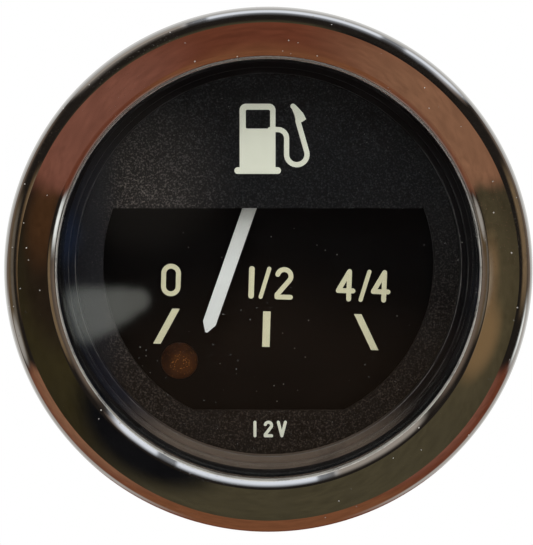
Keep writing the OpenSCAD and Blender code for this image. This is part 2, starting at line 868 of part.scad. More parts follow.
module rear_bearing() {
    color("goldenrod") with_dial() at(0, pivot_z) {
        bearing(frame_front - bearing_lip_t, frame_back + bearing_lip_t);
        tube(frame_front - bearing_lip_t, frame_front, bearing_lip_r, bearing_r);
    }
}

module front_bearing() {
    color("goldenrod") with_dial() at(0, pivot_z) {
        bearing(bridge_front - bearing_lip_t, bridge_back + bearing_lip_t);
        tube(bridge_back, bridge_back + bearing_lip_t, bearing_lip_r, bearing_r);
    }
}

module bridge() {
    arm_r = bearing_r + 1;
    foot_r = pillar_d / 2 + 0.4;
    color("lightgray") with_dial() at(0, pivot_z) plate(bridge_front, bridge_t) difference() {
        union() {
            circle(arm_r);
            translate([-arm_r, 0]) square([2 * arm_r, bridge_rise]);
            translate([-bridge_side, bridge_rise - foot_r]) square([2 * bridge_side, 2 * foot_r]);
            for (side = [-1, 1]) translate([side * bridge_side, bridge_rise]) circle(foot_r);
        }
        circle(bearing_r + fixed_gap);
        for (side = [-1, 1])
            translate([side * bridge_side, bridge_rise]) circle(dial_screw_r + pass_gap);
    }
}

module bridge_pillars() {
    color("goldenrod") with_dial() both_sides(bridge_side, pivot_z + bridge_rise) pillar(bridge_back);
}

module bridge_screws() {
    color("gainsboro") with_dial() both_sides(bridge_side, pivot_z + bridge_rise)
        cheese_screw(bridge_front, dial_screw_head_r, dial_screw_head_t, dial_screw_r,
                     bridge_t + dial_screw_l - 1);
}

module resistor_card() {
    color("peru") with_dial() plate(frame_back + wire_t, card_t) translate([0, resistor_z]) difference() {
        square([card_w, card_h], center = true);
        circle(resistor_rivet_r + fixed_gap);
    }
}

// Resistance wire wound side by side around each end of the card
module resistor_winding() {
    color("darkkhaki") with_dial() both_sides(card_w / 4, resistor_z) difference() {
        plate(frame_back, card_t + 2 * wire_t)
            square([wire_w, card_h + 2 * wire_t], center = true);
        plate(frame_back + wire_t, card_t) square([2 * wire_w, card_h], center = true);
    }
}

module resistor_rivet() {
    back = frame_back + wire_t + card_t;
    color("goldenrod") with_dial() at(0, resistor_z) {
        rod(frame_front, back, resistor_rivet_r);
        tube(frame_back, frame_back + wire_t, resistor_rivet_head_r, resistor_rivet_r);
        rod(back, back + rivet_head_t, resistor_rivet_head_r);
        rod(frame_front - rivet_head_t, frame_front, resistor_rivet_head_r);
    }
}

module case_profile() {
    corner = [barrel_r - back_bend_r, case_depth - back_bend_r];
    inner_bend = back_bend_r - case_sheet;
    polygon(concat(
        [[flange_r, flange_front], [flange_r, flange_back], [barrel_r, flange_back],
         [barrel_r, dial_back + case_sheet], [barrel_r - bead_depth, dial_back + case_sheet],
         [barrel_r - bead_depth, bead_back - case_sheet], [barrel_r, bead_back - case_sheet]],
        arc(corner, back_bend_r, 0, 90),
        [[0, case_depth], [0, floor_y]],
        arc(corner, inner_bend, 90, 0),
        [[bore_r, bead_back], [bead_r, bead_back], [bead_r, dial_back], [bore_r, dial_back],
         [bore_r, flange_front]]
    ));
}

module case_shell() {
    color("darkkhaki") difference() {
        lathe() case_profile();
        both_sides(stud_side, 0) rod(floor_y - 1, case_depth + 1, stud_r + pass_gap);
        both_sides(terminal_side, terminal_rise) rod(floor_y - 1, case_depth + 1, case_rivet_hole_r);
        at(0, -earth_drop) rod(floor_y - 1, case_depth + 1, rivet_r + fixed_gap);
        with_dial() both_sides(lamp_side, -lamp_drop) rod(floor_y - 1, case_depth + 1, lamp_hole_r);
    }
}

module mounting_studs() {
    color("gainsboro") both_sides(stud_side, 0) {
        cheese_screw(frame_front, stud_head_r, stud_head_t, stud_r, stud_end - frame_front);
    }
}

module stud_spacers() {
    color("lightgray") both_sides(stud_side, 0)
        tube(frame_back, floor_y, stud_r + pass_gap + spacer_wall, stud_r + pass_gap);
}

module movement_nuts() {
    color("gainsboro") both_sides(stud_side, 0) plate(case_depth, movement_nut_t) difference() {
        circle(d = movement_nut_flats / cos(30), $fn = 6);
        circle(stud_r + fixed_gap);
    }
}

// Outline of the fibre plates that insulate both terminals, r is the size of their holes
module insulator_shape(margin, r) {
    difference() {
        translate([-terminal_side - margin, terminal_rise - margin + 0.5])
            square([2 * (terminal_side + margin), 2 * margin - 1]);
        for (side = [-1, 1]) translate([side * terminal_side, terminal_rise]) circle(r);
    }
}

module outer_insulator() {
    color("saddlebrown") plate(case_depth, insulator_t)
        insulator_shape(insulator_margin, rivet_r + fixed_gap);
}

module inner_insulator() {
    color("saddlebrown") plate(floor_y - inner_insulator_t, inner_insulator_t)
        insulator_shape(insulator_margin - 0.8, rivet_r + fixed_gap);
}

// A blade terminal: a foot on station y, and a blade that stands back from its upper edge
module blade_terminal(y) {
    tip = 1;
    plate(y, blade_t) difference() {
        square([blade_w, terminal_foot_h], center = true);
        circle(rivet_r + fixed_gap);
    }
    translate([0, y + blade_t, terminal_foot_h / 2 - blade_t]) difference() {
        linear_extrude(blade_t) polygon([
            [-blade_w / 2, 0], [blade_w / 2, 0], [blade_w / 2, blade_l - tip],
            [blade_w / 2 - tip, blade_l], [tip - blade_w / 2, blade_l], [-blade_w / 2, blade_l - tip]
        ]);
        translate([0, blade_l * 0.6, -1]) cylinder(r = blade_hole_r, h = blade_t + 2);
    }
}

module supply_terminal() {
    color("khaki") at(terminal_side, terminal_rise) blade_terminal(terminal_front);
}

module sender_terminal() {
    color("khaki") at(-terminal_side, terminal_rise) blade_terminal(terminal_front);
}

// A tubular rivet from station a to station b, flanged at both ends
module hollow_rivet(a, b) {
    bore = rivet_r - 0.6;
    tube(a - rivet_head_t, b + rivet_head_t, rivet_r, bore);
    tube(a - rivet_head_t, a, rivet_flange_r, rivet_r);
    tube(b, b + rivet_head_t, rivet_flange_r, rivet_r);
}

module terminal_rivets() {
    color("goldenrod") both_sides(terminal_side, terminal_rise)
        hollow_rivet(floor_y - inner_insulator_t - tag_t, terminal_front + blade_t);
}

// Tags under the rivets inside the case, for the coils' leads
module solder_tags() {
    color("gainsboro") both_sides(terminal_side, terminal_rise)
        plate(floor_y - inner_insulator_t - tag_t, tag_t) difference() {
            union() {
                circle(rivet_flange_r + 0.3);
                translate([-tag_w / 4, -tag_l]) square([tag_w / 2, tag_l]);
                translate([0, -tag_l]) circle(tag_w / 3);
            }
            circle(rivet_r + fixed_gap);
            translate([0, -tag_l]) circle(tag_eye_r);
        }
}

module earth_terminal() {
    color("khaki") at(0, -earth_drop) blade_terminal(case_depth);
}

module earth_rivet() {
    color("goldenrod") at(0, -earth_drop) hollow_rivet(floor_y, case_depth + blade_t);
}

// Metal sleeve of a push-in lamp holder, with its flange and rear cap
module lamp_holder() {
    tube(holder_start, case_depth, holder_r, holder_bore_r);
    tube(case_depth, case_depth + holder_flange_t, holder_flange_r, holder_bore_r);
    tube(case_depth + holder_flange_t, case_depth + holder_cap_l, holder_cap_r, holder_bore_r);
}

// Insulating plug in the rear of the holder, with the lamp's own blade
module lamp_contact() {
    plug_end = case_depth + holder_cap_l;
    rod(base_back, plug_end, holder_bore_r - fixed_gap);
    translate([-blade_w / 2, plug_end, -blade_t / 2]) cube([blade_w, blade_l, blade_t]);
}

module lamp_base() {
    rod(base_front, base_back, bulb_base_d / 2);
}

module lamp_bulb() {
    rod(bulb_front + bulb_r, base_front, bulb_r);
    translate([0, bulb_front + bulb_r, 0]) sphere(bulb_r);
}

module at_lamp(side) {
    with_dial() at(side * lamp_side, -lamp_drop) children();
}

module dial_lamp_holder() { color("lightgray") at_lamp(1) lamp_holder(); }
module dial_lamp_contact() { color("saddlebrown") at_lamp(1) lamp_contact(); }
module dial_lamp_base() { color("goldenrod") at_lamp(1) lamp_base(); }
module dial_lamp_bulb() { color("whitesmoke") at_lamp(1) lamp_bulb(); }
module reserve_lamp_holder() { color("lightgray") at_lamp(-1) lamp_holder(); }
module reserve_lamp_contact() { color("saddlebrown") at_lamp(-1) lamp_contact(); }
module reserve_lamp_base() { color("goldenrod") at_lamp(-1) lamp_base(); }
module reserve_lamp_bulb() { color("whitesmoke") at_lamp(-1) lamp_bulb(); }

// The bracket's sheet seen from above: two legs and the web that joins them
module bracket_profile() {
    outer_bend = bracket_bend_r + bracket_t;
    polygon(concat(
        [[leg_out, panel_space]],
        arc([leg_out - outer_bend, web_back - outer_bend], outer_bend, 0, 90),
        arc([outer_bend - leg_out, web_back - outer_bend], outer_bend, 90, 180),
        [[-leg_out, panel_space], [-leg_in, panel_space]],
        arc([bracket_bend_r - leg_in, web_front - bracket_bend_r], bracket_bend_r, 180, 90, 4),
        arc([leg_in - bracket_bend_r, web_front - bracket_bend_r], bracket_bend_r, 90, 0, 4),
        [[leg_in, panel_space]]
    ));
}

// The bracket seen from the side, with the corners of its feet rounded
module bracket_side() {
    half = bracket_w / 2;
    polygon(concat(
        arc([panel_space + foot_corner_r, half - foot_corner_r], foot_corner_r, 180, 90, 5),
        [[web_back + 1, half], [web_back + 1, -half]],
        arc([panel_space + foot_corner_r, foot_corner_r - half], foot_corner_r, 270, 180, 5)
    ));
}

module clamp_bracket() {
    color("silver") difference() {
        intersection() {
            translate([0, 0, -bracket_w / 2]) linear_extrude(bracket_w) bracket_profile();
            translate([-leg_out - 1, 0, 0]) rotate([90, 0, 90])
                linear_extrude(2 * leg_out + 2) bracket_side();
        }
        both_sides(stud_side, 0) rod(web_front - 1, web_back + 1, stud_r + pass_gap);
    }
}

module clamp_washers() {
    color("gainsboro") both_sides(stud_side, 0)
        tube(web_back, web_back + washer_t, washer_r, stud_r + pass_gap);
}

module knurled_nut() {
    grip = nut_front + nut_collar_h;
    difference() {
        union() {
            rod(nut_front, grip, nut_collar_r);
            plate(grip, nut_h - nut_collar_h) difference() {
                circle(nut_d / 2);
                for (i = [0:knurls - 1])
                    rotate(i * 360 / knurls) translate([nut_d / 2, 0]) circle(knurl_r, $fn = 16);
            }
        }
        rod(nut_front - 1, nut_front + nut_h + 1, stud_r + turn_gap);
    }
}

module left_clamp_nut() { color("goldenrod") at(-stud_side, 0) knurled_nut(); }
module right_clamp_nut() { color("goldenrod") at(stud_side, 0) knurled_nut(); }

bezel();
glass_lens();
lens_gasket();
front_spacer_ring();
mask_plate();
pump_symbol();
rating_figures();
rear_spacer_ring();
dial_plate();
dial_marks();
dial_figures();
dial_screws();
dial_pillars();
reserve_lens();
reserve_light_tube();
pointer();
pointer_boss();
pointer_spindle();
pointer_counterweight();
armature();
movement_frame();
bridge();
bridge_pillars();
bridge_screws();
front_bearing();
rear_bearing();
bobbin(coil_angles[1]);  // left_bobbin
winding(coil_angles[1]);  // left_winding
core(coil_angles[1]);  // left_core
bobbin(coil_angles[0]);  // right_bobbin
winding(coil_angles[0]);  // right_winding
core(coil_angles[0]);  // right_core
coil_leads();
resistor_card();
resistor_winding();
resistor_rivet();
case_shell();
mounting_studs();
stud_spacers();
movement_nuts();
outer_insulator();
inner_insulator();
supply_terminal();
sender_terminal();
terminal_rivets();
solder_tags();
earth_terminal();
earth_rivet();
dial_lamp_holder();
dial_lamp_contact();
dial_lamp_base();
dial_lamp_bulb();
reserve_lamp_holder();
reserve_lamp_contact();
reserve_lamp_base();
reserve_lamp_bulb();
clamp_bracket();
clamp_washers();
left_clamp_nut();
right_clamp_nut();
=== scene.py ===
"""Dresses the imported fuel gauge: turned bezel, threads, windings, materials, stage, light and camera."""

import json
import math

import bmesh
import bpy
from mathutils import Matrix, Vector


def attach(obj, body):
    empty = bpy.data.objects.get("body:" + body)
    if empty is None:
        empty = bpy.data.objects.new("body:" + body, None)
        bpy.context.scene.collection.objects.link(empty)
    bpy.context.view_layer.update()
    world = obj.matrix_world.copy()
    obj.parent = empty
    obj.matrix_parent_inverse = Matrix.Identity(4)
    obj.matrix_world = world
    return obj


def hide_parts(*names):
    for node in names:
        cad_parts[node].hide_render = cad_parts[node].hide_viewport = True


MM = 0.001
FULL_TURN = 2.0 * math.pi

# Bezel in mm, as the CAD has it. Each bend of the lip is the tilt in degrees that it reaches, and its radius
BEZEL_R = 30.0
BEZEL_H = 5.6
SHEET = 0.55
CRIMP_R = 0.8
CUT_R = 26.6
LIP_R = 24.2
LIP_BENDS = ((38.0, 1.0), (50.0, 5.4))
LIP_ROUND = 0.05
GLASS_FRONT = -1.3

# Rim as the photograph's reflections show it: a crease, a first roll up to a faint break, then the outer roll
CREASE_R = 28.2
ROLL_START = 26.0
ROLL_BREAK = 34.0
ROLL_BREAK_R = 29.3

# Cone from the crease down to the lip: its slope in degrees at both ends
CONE_TILT_OUT = 23.0
CONE_TILT_IN = 31.0

# Straight pieces in each part of the bezel's profile, and round its axis
ROLL_STEPS = 16
CONE_STEPS = 14
ARC_STEPS = 10
INNER_BEND_STEPS = 5
SMALL_ARC_STEPS = 4
BEZEL_SEGMENTS = 288

# Inner side of the sheet under the rim, in sheet thicknesses behind the outer side
INNER_CREASE = 1.1
INNER_BREAK = 1.9
INNER_BREAK_IN = 0.6

# Plate wear and a painted highlight at the lip's edge, in mm: how far out from the edge they end and are
# full, and the same in depth
WEAR_AND_HIGHLIGHT_END = 0.12
WEAR_AND_HIGHLIGHT_FULL = 0.04
WEAR_AND_HIGHLIGHT_END_Y = -1.9
WEAR_AND_HIGHLIGHT_FULL_Y = -2.5

# Front spacer ring, in mm: its two front edges, where the paint wears and a highlight is painted, most at the
# bottom
SIGHT_R = 22.6
SIGHT_Y = 2.1
STEP_R = 23.3
STEP_Y = 1.2

# Reserve lamp's lens, in mm: its centre from the middle of the dial, and the radii where its glow fades
LENS_SIDE = 10.34
LENS_DROP = 12.15
LENS_GLOW = 0.8
LENS_RIM = 2.1

# Depths in mm: behind the print on the mask, before that on the dial, and where the lamp plugs' blades begin
MASK_PRINT = 4.5
DIAL_PRINT = 4.6
PLUG_END = 41.0
BLADE_START = 41.02

# Width of one turn of the resistor's wire, in mm
RESISTOR_TURN = 0.2

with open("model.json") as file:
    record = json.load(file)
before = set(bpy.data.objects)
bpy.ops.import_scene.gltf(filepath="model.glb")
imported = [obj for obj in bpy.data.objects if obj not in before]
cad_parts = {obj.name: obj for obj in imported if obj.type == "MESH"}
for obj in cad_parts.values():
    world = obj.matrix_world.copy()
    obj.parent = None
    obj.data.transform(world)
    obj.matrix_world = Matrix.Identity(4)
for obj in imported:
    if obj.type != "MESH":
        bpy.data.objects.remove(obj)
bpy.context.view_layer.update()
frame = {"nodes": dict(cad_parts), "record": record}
nodes = frame["nodes"]
slot_of = {part["node"]: part["material_slot"] for part in frame["record"]["subparts"]}


def sine(degrees):
    """Sine of an angle in degrees."""
    return math.sin(math.radians(degrees))


def cosine(degrees):
    """Cosine of an angle in degrees."""
    return math.cos(math.radians(degrees))


# Node trees

class Tree:
    """A node tree with short calls for the nodes used here."""

    def __init__(self, tree):
        self.tree = tree
        tree.nodes.clear()

    def node(self, kind, inputs=None, **settings):
        made = self.tree.nodes.new(kind)
        for key, value in settings.items():
            setattr(made, key, value)
        for key, value in (inputs or {}).items():
            self.feed(made.inputs[key], value)
        return made

    def feed(self, socket, value):
        if isinstance(value, bpy.types.NodeSocket):
            self.tree.links.new(value, socket)
        elif socket.type == "RGBA" and len(value) == 3:
            socket.default_value = (*value, 1.0)
        else:
            socket.default_value = value

    def math(self, operation, a, b=0.0, clamp=False):
        made = self.node("ShaderNodeMath", {0: a, 1: b}, operation=operation, use_clamp=clamp)
        return made.outputs[0]

    def plus(self, a, b, clamp=False):
        return self.math("ADD", a, b, clamp)

    def minus(self, a, b):
        return self.math("SUBTRACT", a, b)

    def times(self, product, *factors):
        for factor in factors:
            product = self.math("MULTIPLY", product, factor)
        return product

    def absolute(self, value):
        return self.math("ABSOLUTE", value)

    def reach(self, a, b):
        """Length of the pair a, b."""
        return self.math("SQRT", self.plus(self.times(a, a), self.times(b, b)))

    def mix(self, factor, a, b, blend="MIX"):
        made = self.node("ShaderNodeMix", data_type="RGBA", blend_type=blend)
        self.feed(made.inputs[0], factor)
        self.feed(made.inputs[6], a)
        self.feed(made.inputs[7], b)
        return made.outputs[2]

    def steps(self, value, low, high, to_low=0.0, to_high=1.0, smooth=True):
        """The value's way from low to high as one from to_low to to_high, held at both ends."""
        made = self.node("ShaderNodeMapRange", {
            "Value": value, "From Min": low, "From Max": high, "To Min": to_low, "To Max": to_high,
        }, interpolation_type="SMOOTHSTEP" if smooth else "LINEAR")
        return made.outputs["Result"]

    def place(self):
        return self.node("ShaderNodeTexCoord").outputs["Object"]

    def parts(self, vector):
        made = self.node("ShaderNodeSeparateXYZ", {0: vector})
        return made.outputs[0], made.outputs[1], made.outputs[2]

    def stretch(self, vector, scale):
        made = self.node("ShaderNodeVectorMath", {0: vector, 1: scale}, operation="MULTIPLY")
        return made.outputs[0]

    def join(self, x, y, z):
        return self.node("ShaderNodeCombineXYZ", {0: x, 1: y, 2: z}).outputs[0]

    def noise(self, vector, scale, detail=4.0, roughness=0.55, distortion=0.0):
        made = self.node("ShaderNodeTexNoise", {
            "Vector": vector, "Scale": scale, "Detail": detail, "Roughness": roughness,
            "Distortion": distortion,
        })
        return made.outputs["Fac"]

    def cells(self, vector, scale, feature="F1"):
        made = self.node("ShaderNodeTexVoronoi", {"Vector": vector, "Scale": scale}, feature=feature)
        return made.outputs["Distance"]

    def bump(self, height, distance, strength=1.0, normal=None):
        inputs = {"Height": height, "Distance": distance, "Strength": strength}
        if normal is not None:
            inputs["Normal"] = normal
        return self.node("ShaderNodeBump", inputs).outputs["Normal"]

    def polar(self, vector):
        """Radius and angle round the case axis."""
        x, _, z = self.parts(vector)
        return self.reach(x, z), self.math("ARCTAN2", z, x)


def material(name):
    """A new material and its empty tree."""
    made = bpy.data.materials.new(name)
    made.use_nodes = True
    return made, Tree(made.node_tree)


def surface(tree, inputs):
    """Ends a material's tree in one shader."""
    shader = tree.node("ShaderNodeBsdfPrincipled", inputs)
    tree.node("ShaderNodeOutputMaterial", {"Surface": shader.outputs[0]})


def specks(tree, vector, scale, size):
    """1 in small round grains, 0 between them."""
    return tree.steps(tree.cells(vector, scale), size, size * 0.55)


# Materials. Places in them are in metres: x to the right of the case axis, y backwards, z up

def chrome():
    """Old chrome plate: bright, with dust, fine cross scratches, a little staining, and plate wear with a
    painted highlight at the lip, strongest at the bottom.
    """
    made, t = material("chrome_plate")
    at = t.place()
    radius, angle = t.polar(at)
    _, y, z = t.parts(at)
    stain = t.noise(at, 220.0, 3.0)
    dust = t.times(specks(t, at, 820.0, 0.085), t.steps(t.noise(at, 90.0), 0.46, 0.58))
    along = t.join(t.times(angle, 0.9), t.times(radius, 40.0), 0.0)
    scratch = t.steps(t.noise(along, 160.0, 2.0), 0.66, 0.72)
    scratch = t.times(scratch, t.steps(t.noise(at, 60.0, 2.0), 0.52, 0.66))
    colour = t.mix(stain, (0.62, 0.61, 0.60), (0.57, 0.56, 0.55))
    colour = t.mix(dust, colour, (0.46, 0.44, 0.40))
    roughness = t.plus(t.steps(stain, 0.3, 0.7, 0.035, 0.085), t.times(scratch, 0.16))
    roughness = t.plus(roughness, t.times(dust, 0.5))
    normal = t.bump(t.noise(at, 130.0, 2.0), 0.00001, 0.5)
    normal = t.bump(t.plus(t.times(dust, 1.5), scratch), 0.000012, 0.5, normal)
    # Plate wear and a painted highlight: the lip's edge is lighter and less metallic, most towards the
    # bottom, where light from above falls on it.
    wear_and_highlight = t.times(t.steps(radius, (LIP_R + WEAR_AND_HIGHLIGHT_END) * MM, (LIP_R + WEAR_AND_HIGHLIGHT_FULL) * MM),
                   t.steps(y, WEAR_AND_HIGHLIGHT_END_Y * MM, WEAR_AND_HIGHLIGHT_FULL_Y * MM),
                   t.steps(z, 0.014, 0.001, 0.35, 1.0),
                   t.steps(t.noise(at, 300.0, 3.0), 0.30, 0.55, 0.6, 1.0))
    colour = t.mix(wear_and_highlight, colour, (0.66, 0.64, 0.58))
    dull = t.math("MAXIMUM", t.times(dust, 0.9), t.times(wear_and_highlight, 0.6))
    metallic = t.minus(1.0, dull)
    roughness = t.plus(roughness, t.times(wear_and_highlight, 0.3))
    surface(t, {"Base Color": colour, "Metallic": metallic, "Roughness": roughness, "Normal": normal})
    return made


def glass():
    """Flat pane: nearly clear, with dust and a faint haze."""
    made, t = material("clear_glass")
    at = t.place()
    dust = t.times(specks(t, at, 900.0, 0.085), t.steps(t.noise(at, 70.0), 0.50, 0.64))
    haze = t.steps(t.noise(at, 45.0, 5.0, 0.65), 0.45, 0.8, 0.0, 0.012)
    slant = t.node("ShaderNodeLayerWeight", {"Blend": 0.5}).outputs["Facing"]
    mirror = t.plus(t.times(t.math("POWER", slant, 5.0), 0.9), 0.05)
    alpha = t.plus(t.plus(mirror, haze), t.times(dust, 0.22), True)
    colour = t.mix(dust, (0.80, 0.82, 0.83), (0.62, 0.61, 0.57))
    surface(t, {
        "Base Color": colour, "Metallic": t.steps(dust, 0.0, 1.0, 1.0, 0.0),
        "Roughness": t.steps(dust, 0.0, 1.0, 0.025, 0.8), "Alpha": alpha,
    })
    return made


def rubber():
    """Black rubber with a pale bloom."""
    made, t = material("black_rubber")
    at = t.place()
    grain = t.noise(at, 2600.0, 5.0)
    bloom = t.noise(at, 150.0)
    colour = t.mix(bloom, (0.006, 0.0065, 0.008), (0.014, 0.014, 0.015))
    surface(t, {
        "Base Color": colour, "Roughness": t.steps(grain, 0.2, 0.8, 0.55, 0.8),
        "Normal": t.bump(grain, 0.00002, 0.5), "Specular IOR Level": 0.35,
    })
    return made


def front_edge(t, radius, y, edge_r, edge_y):
    """1 on a fine line along a turned front edge, 0 beside it and behind it."""
    return t.times(t.steps(radius, (edge_r + 0.10) * MM, (edge_r + 0.05) * MM),
                   t.steps(radius, (edge_r - 0.05) * MM, (edge_r - 0.02) * MM),
                   t.steps(y, (edge_y + 0.14) * MM, (edge_y + 0.08) * MM))


def ring_paint():
    """Satin black spacer rings: turning marks under the paint, front edges with paint wear and a painted
    highlight, a painted bluish reflection on the left, painted shade at the top and painted light at the
    foot.
    """
    made, t = material("ring_black")
    at = t.place()
    radius, angle = t.polar(at)
    x, y, z = t.parts(at)
    marks = t.noise(t.join(t.plus(radius, y), t.times(angle, 0.0004), 0.0), 7000.0, 2.0)
    wear = t.noise(at, 260.0, 5.0)
    # Painted light: a bluish painted reflection on the left, painted shade at the top and painted light from
    # above at the foot.
    side = t.steps(x, -0.02, 0.01)
    painted_light_tone = t.mix(side, (0.0072, 0.0105, 0.0205), (0.0035, 0.0040, 0.0048))
    painted_light_tone = t.mix(t.steps(z, 0.006, 0.018), painted_light_tone, (0.0020, 0.0022, 0.0028))
    painted_light_tone = t.mix(t.steps(z, -0.0150, -0.0215, 0.0, 0.9), painted_light_tone, (0.150, 0.115, 0.088))
    colour = t.mix(t.steps(wear, 0.55, 0.8, 0.0, 0.7), painted_light_tone, (0.016, 0.015, 0.015))
    # Front edges: paint wear and a painted highlight, most towards the bottom.
    for edge_r, edge_y, share in ((SIGHT_R, SIGHT_Y, 0.85), (STEP_R, STEP_Y, 0.45)):
        wear_and_highlight = t.times(front_edge(t, radius, y, edge_r, edge_y),
                       t.steps(wear, 0.32, 0.60, 0.2 * share, share),
                       t.steps(z, 0.016, 0.002, 0.1, 1.0))
        colour = t.mix(wear_and_highlight, colour, (0.15, 0.145, 0.135))
    surface(t, {
        "Base Color": colour, "Roughness": t.steps(marks, 0.2, 0.8, 0.30, 0.46),
        "Normal": t.bump(marks, 0.000006, 0.5), "Specular IOR Level": 0.4,
    })
    return made


def mask_paint():
    """Black crackle paint: fine raised grains and grey dust in the hollows, with painted light: lighter and
    warmer towards the foot, a lighter patch on the upper left, and a painted bluish reflection at the far
    left.
    """
    made, t = material("mask_crackle")
    at = t.place()
    x, _, z = t.parts(at)
    grain = t.noise(at, 4600.0, 3.0, 0.65)
    lumps = t.cells(at, 3400.0, "SMOOTH_F1")
    clouds = t.noise(at, 170.0, 4.0)
    # Painted light: the grains are lighter and warmer towards the foot and in a patch on the upper left.
    painted_light_at_foot = t.steps(z, 0.012, -0.014)
    left = t.times(t.steps(x, -0.002, -0.018), t.steps(z, 0.022, 0.006),
                   t.steps(z, -0.015, -0.004, 0.1, 1.0), t.steps(x, -0.0205, -0.0165, 0.1, 1.0))
    dark = t.mix(painted_light_at_foot, (0.0042, 0.0050, 0.0057), (0.0050, 0.0036, 0.0025))
    dark = t.mix(left, dark, (0.0125, 0.0108, 0.0096))
    light = t.mix(painted_light_at_foot, (0.028, 0.030, 0.032), (0.060, 0.047, 0.037))
    light = t.mix(left, light, (0.165, 0.143, 0.128))
    base = t.mix(t.steps(grain, 0.47, 0.70), dark, light)
    base = t.mix(t.steps(clouds, 0.42, 0.75, 0.0, 0.25), base, (0.012, 0.0118, 0.0115))
    # Painted bluish reflection at the far left.
    base = t.mix(t.steps(x, -0.0165, -0.0205, 0.0, 0.7), base, (0.0165, 0.0175, 0.0235))
    flecks = t.times(specks(t, at, 2500.0, 0.22), t.steps(t.noise(at, 620.0, 3.0), 0.46, 0.62))
    base = t.mix(t.times(flecks, 0.55), base, (0.085, 0.082, 0.078))
    dust = t.times(specks(t, at, 1300.0, 0.10), t.steps(t.noise(at, 300.0), 0.52, 0.62))
    base = t.mix(dust, base, (0.16, 0.16, 0.15))
    height = t.plus(grain, t.times(lumps, -0.8))
    surface(t, {
        "Base Color": base, "Roughness": 0.62, "Normal": t.bump(height, 0.00005, 0.9),
        "Specular IOR Level": 0.2,
    })
    return made


def print_ink():
    """Cream screen print with a slightly uneven coat, yellower on the dial than on the mask."""
    made, t = material("print_cream")
    at = t.place()
    coat = t.noise(at, 900.0, 5.0)
    spots = t.times(specks(t, at, 1700.0, 0.12), t.steps(t.noise(at, 500.0), 0.5, 0.6))
    _, y, _ = t.parts(at)
    on_mask = t.mix(coat, (0.66, 0.68, 0.56), (0.72, 0.735, 0.61))
    on_dial = t.mix(coat, (0.60, 0.575, 0.38), (0.66, 0.64, 0.43))
    colour = t.mix(t.steps(y, MASK_PRINT * MM, DIAL_PRINT * MM), on_mask, on_dial)
    colour = t.mix(t.times(spots, 0.35), colour, (0.30, 0.28, 0.20))
    surface(t, {
        "Base Color": colour, "Roughness": t.steps(coat, 0.2, 0.8, 0.5, 0.7),
        "Normal": t.bump(coat, 0.00001, 0.4), "Specular IOR Level": 0.3,
    })
    return made


def dial_paint():
    """Very dark smooth dial with lint, and a painted brown reflection at the foot."""
    made, t = material("dial_black")
    at = t.place()
    _, _, z = t.parts(at)
    clouds = t.noise(at, 110.0, 3.0)
    colour = t.mix(clouds, (0.0012, 0.0012, 0.0013), (0.0024, 0.0023, 0.0023))
    # Painted reflection: brown towards the foot.
    colour = t.mix(t.steps(z, 0.002, -0.008), colour, (0.0034, 0.0024, 0.0018))
    dust = t.times(specks(t, at, 800.0, 0.075), t.steps(t.noise(at, 130.0), 0.52, 0.6))
    colour = t.mix(dust, colour, (0.28, 0.27, 0.25))
    surface(t, {
        "Base Color": colour, "Roughness": t.steps(clouds, 0.3, 0.7, 0.42, 0.56),
        "Specular IOR Level": 0.15,
    })
    return made


def pointer_paint():
    """White pointer paint, dull and grey towards the pivot, which lies in the mask's shade."""
    made, t = material("pointer_white")
    at = t.place()
    _, _, z = t.parts(at)
    coat = t.noise(at, 700.0, 5.0)
    colour = t.mix(coat, (0.64, 0.66, 0.64), (0.71, 0.735, 0.70))
    colour = t.mix(t.steps(z, -0.002, 0.009, 0.0, 0.85), colour, (0.30, 0.30, 0.265))
    surface(t, {
        "Base Color": colour, "Roughness": t.steps(coat, 0.2, 0.8, 0.38, 0.5),
        "Normal": t.bump(coat, 0.000008, 0.4),
    })
    return made


def amber():
    """Amber plastic over a dark hole: moulded specks glint in it."""
    made, t = material("amber_lens")
    at = t.place()
    x, _, z = t.parts(at)
    radius = t.reach(t.minus(x, -LENS_SIDE * MM), t.minus(z, -LENS_DROP * MM))
    inside = t.steps(radius, LENS_RIM * MM, LENS_GLOW * MM)
    clouds = t.noise(at, 900.0, 4.0)
    colour = t.mix(t.steps(clouds, 0.3, 0.7), (0.012, 0.0030, 0.0006), (0.030, 0.0080, 0.0012))
    colour = t.mix(t.times(inside, 0.8), colour, (0.058, 0.0165, 0.0018))
    grains = t.times(specks(t, at, 5200.0, 0.30), t.steps(t.noise(at, 1700.0), 0.45, 0.58, 0.15, 1.0),
                     t.steps(inside, 0.0, 1.0, 0.15, 0.9))
    colour = t.mix(grains, colour, (0.60, 0.25, 0.045))
    surface(t, {
        "Base Color": colour, "Roughness": 0.32, "Normal": t.bump(clouds, 0.00003, 0.5),
        "Specular IOR Level": 0.2, "Coat Weight": 0.1, "Coat Roughness": 0.1,
    })
    return made


def metal(name, dark, light, rough, grain_scale, tarnish, share, lines=0.0):
    """Bare or plated metal: grain, a share of cloudy tarnish, and drawing lines along the case axis."""
    made, t = material(name)
    at = t.place()
    grain = t.noise(at, grain_scale, 6.0, 0.6)
    clouds = t.noise(at, 130.0, 4.0)
    colour = t.mix(grain, dark, light)
    colour = t.mix(t.steps(clouds, 0.42, 0.72, 0.0, share), colour, tarnish)
    drawn = t.noise(t.stretch(at, (1.0, 1.0 - lines, 1.0)), grain_scale * 3.0, 3.0)
    roughness = t.plus(t.steps(clouds, 0.3, 0.7, rough * 0.8, rough * 1.25),
                       t.times(t.minus(drawn, 0.5), rough * 0.5))
    surface(t, {
        "Base Color": colour, "Metallic": 1.0, "Roughness": roughness,
        "Normal": t.bump(drawn, 0.000008, 0.5),
    })
    return made


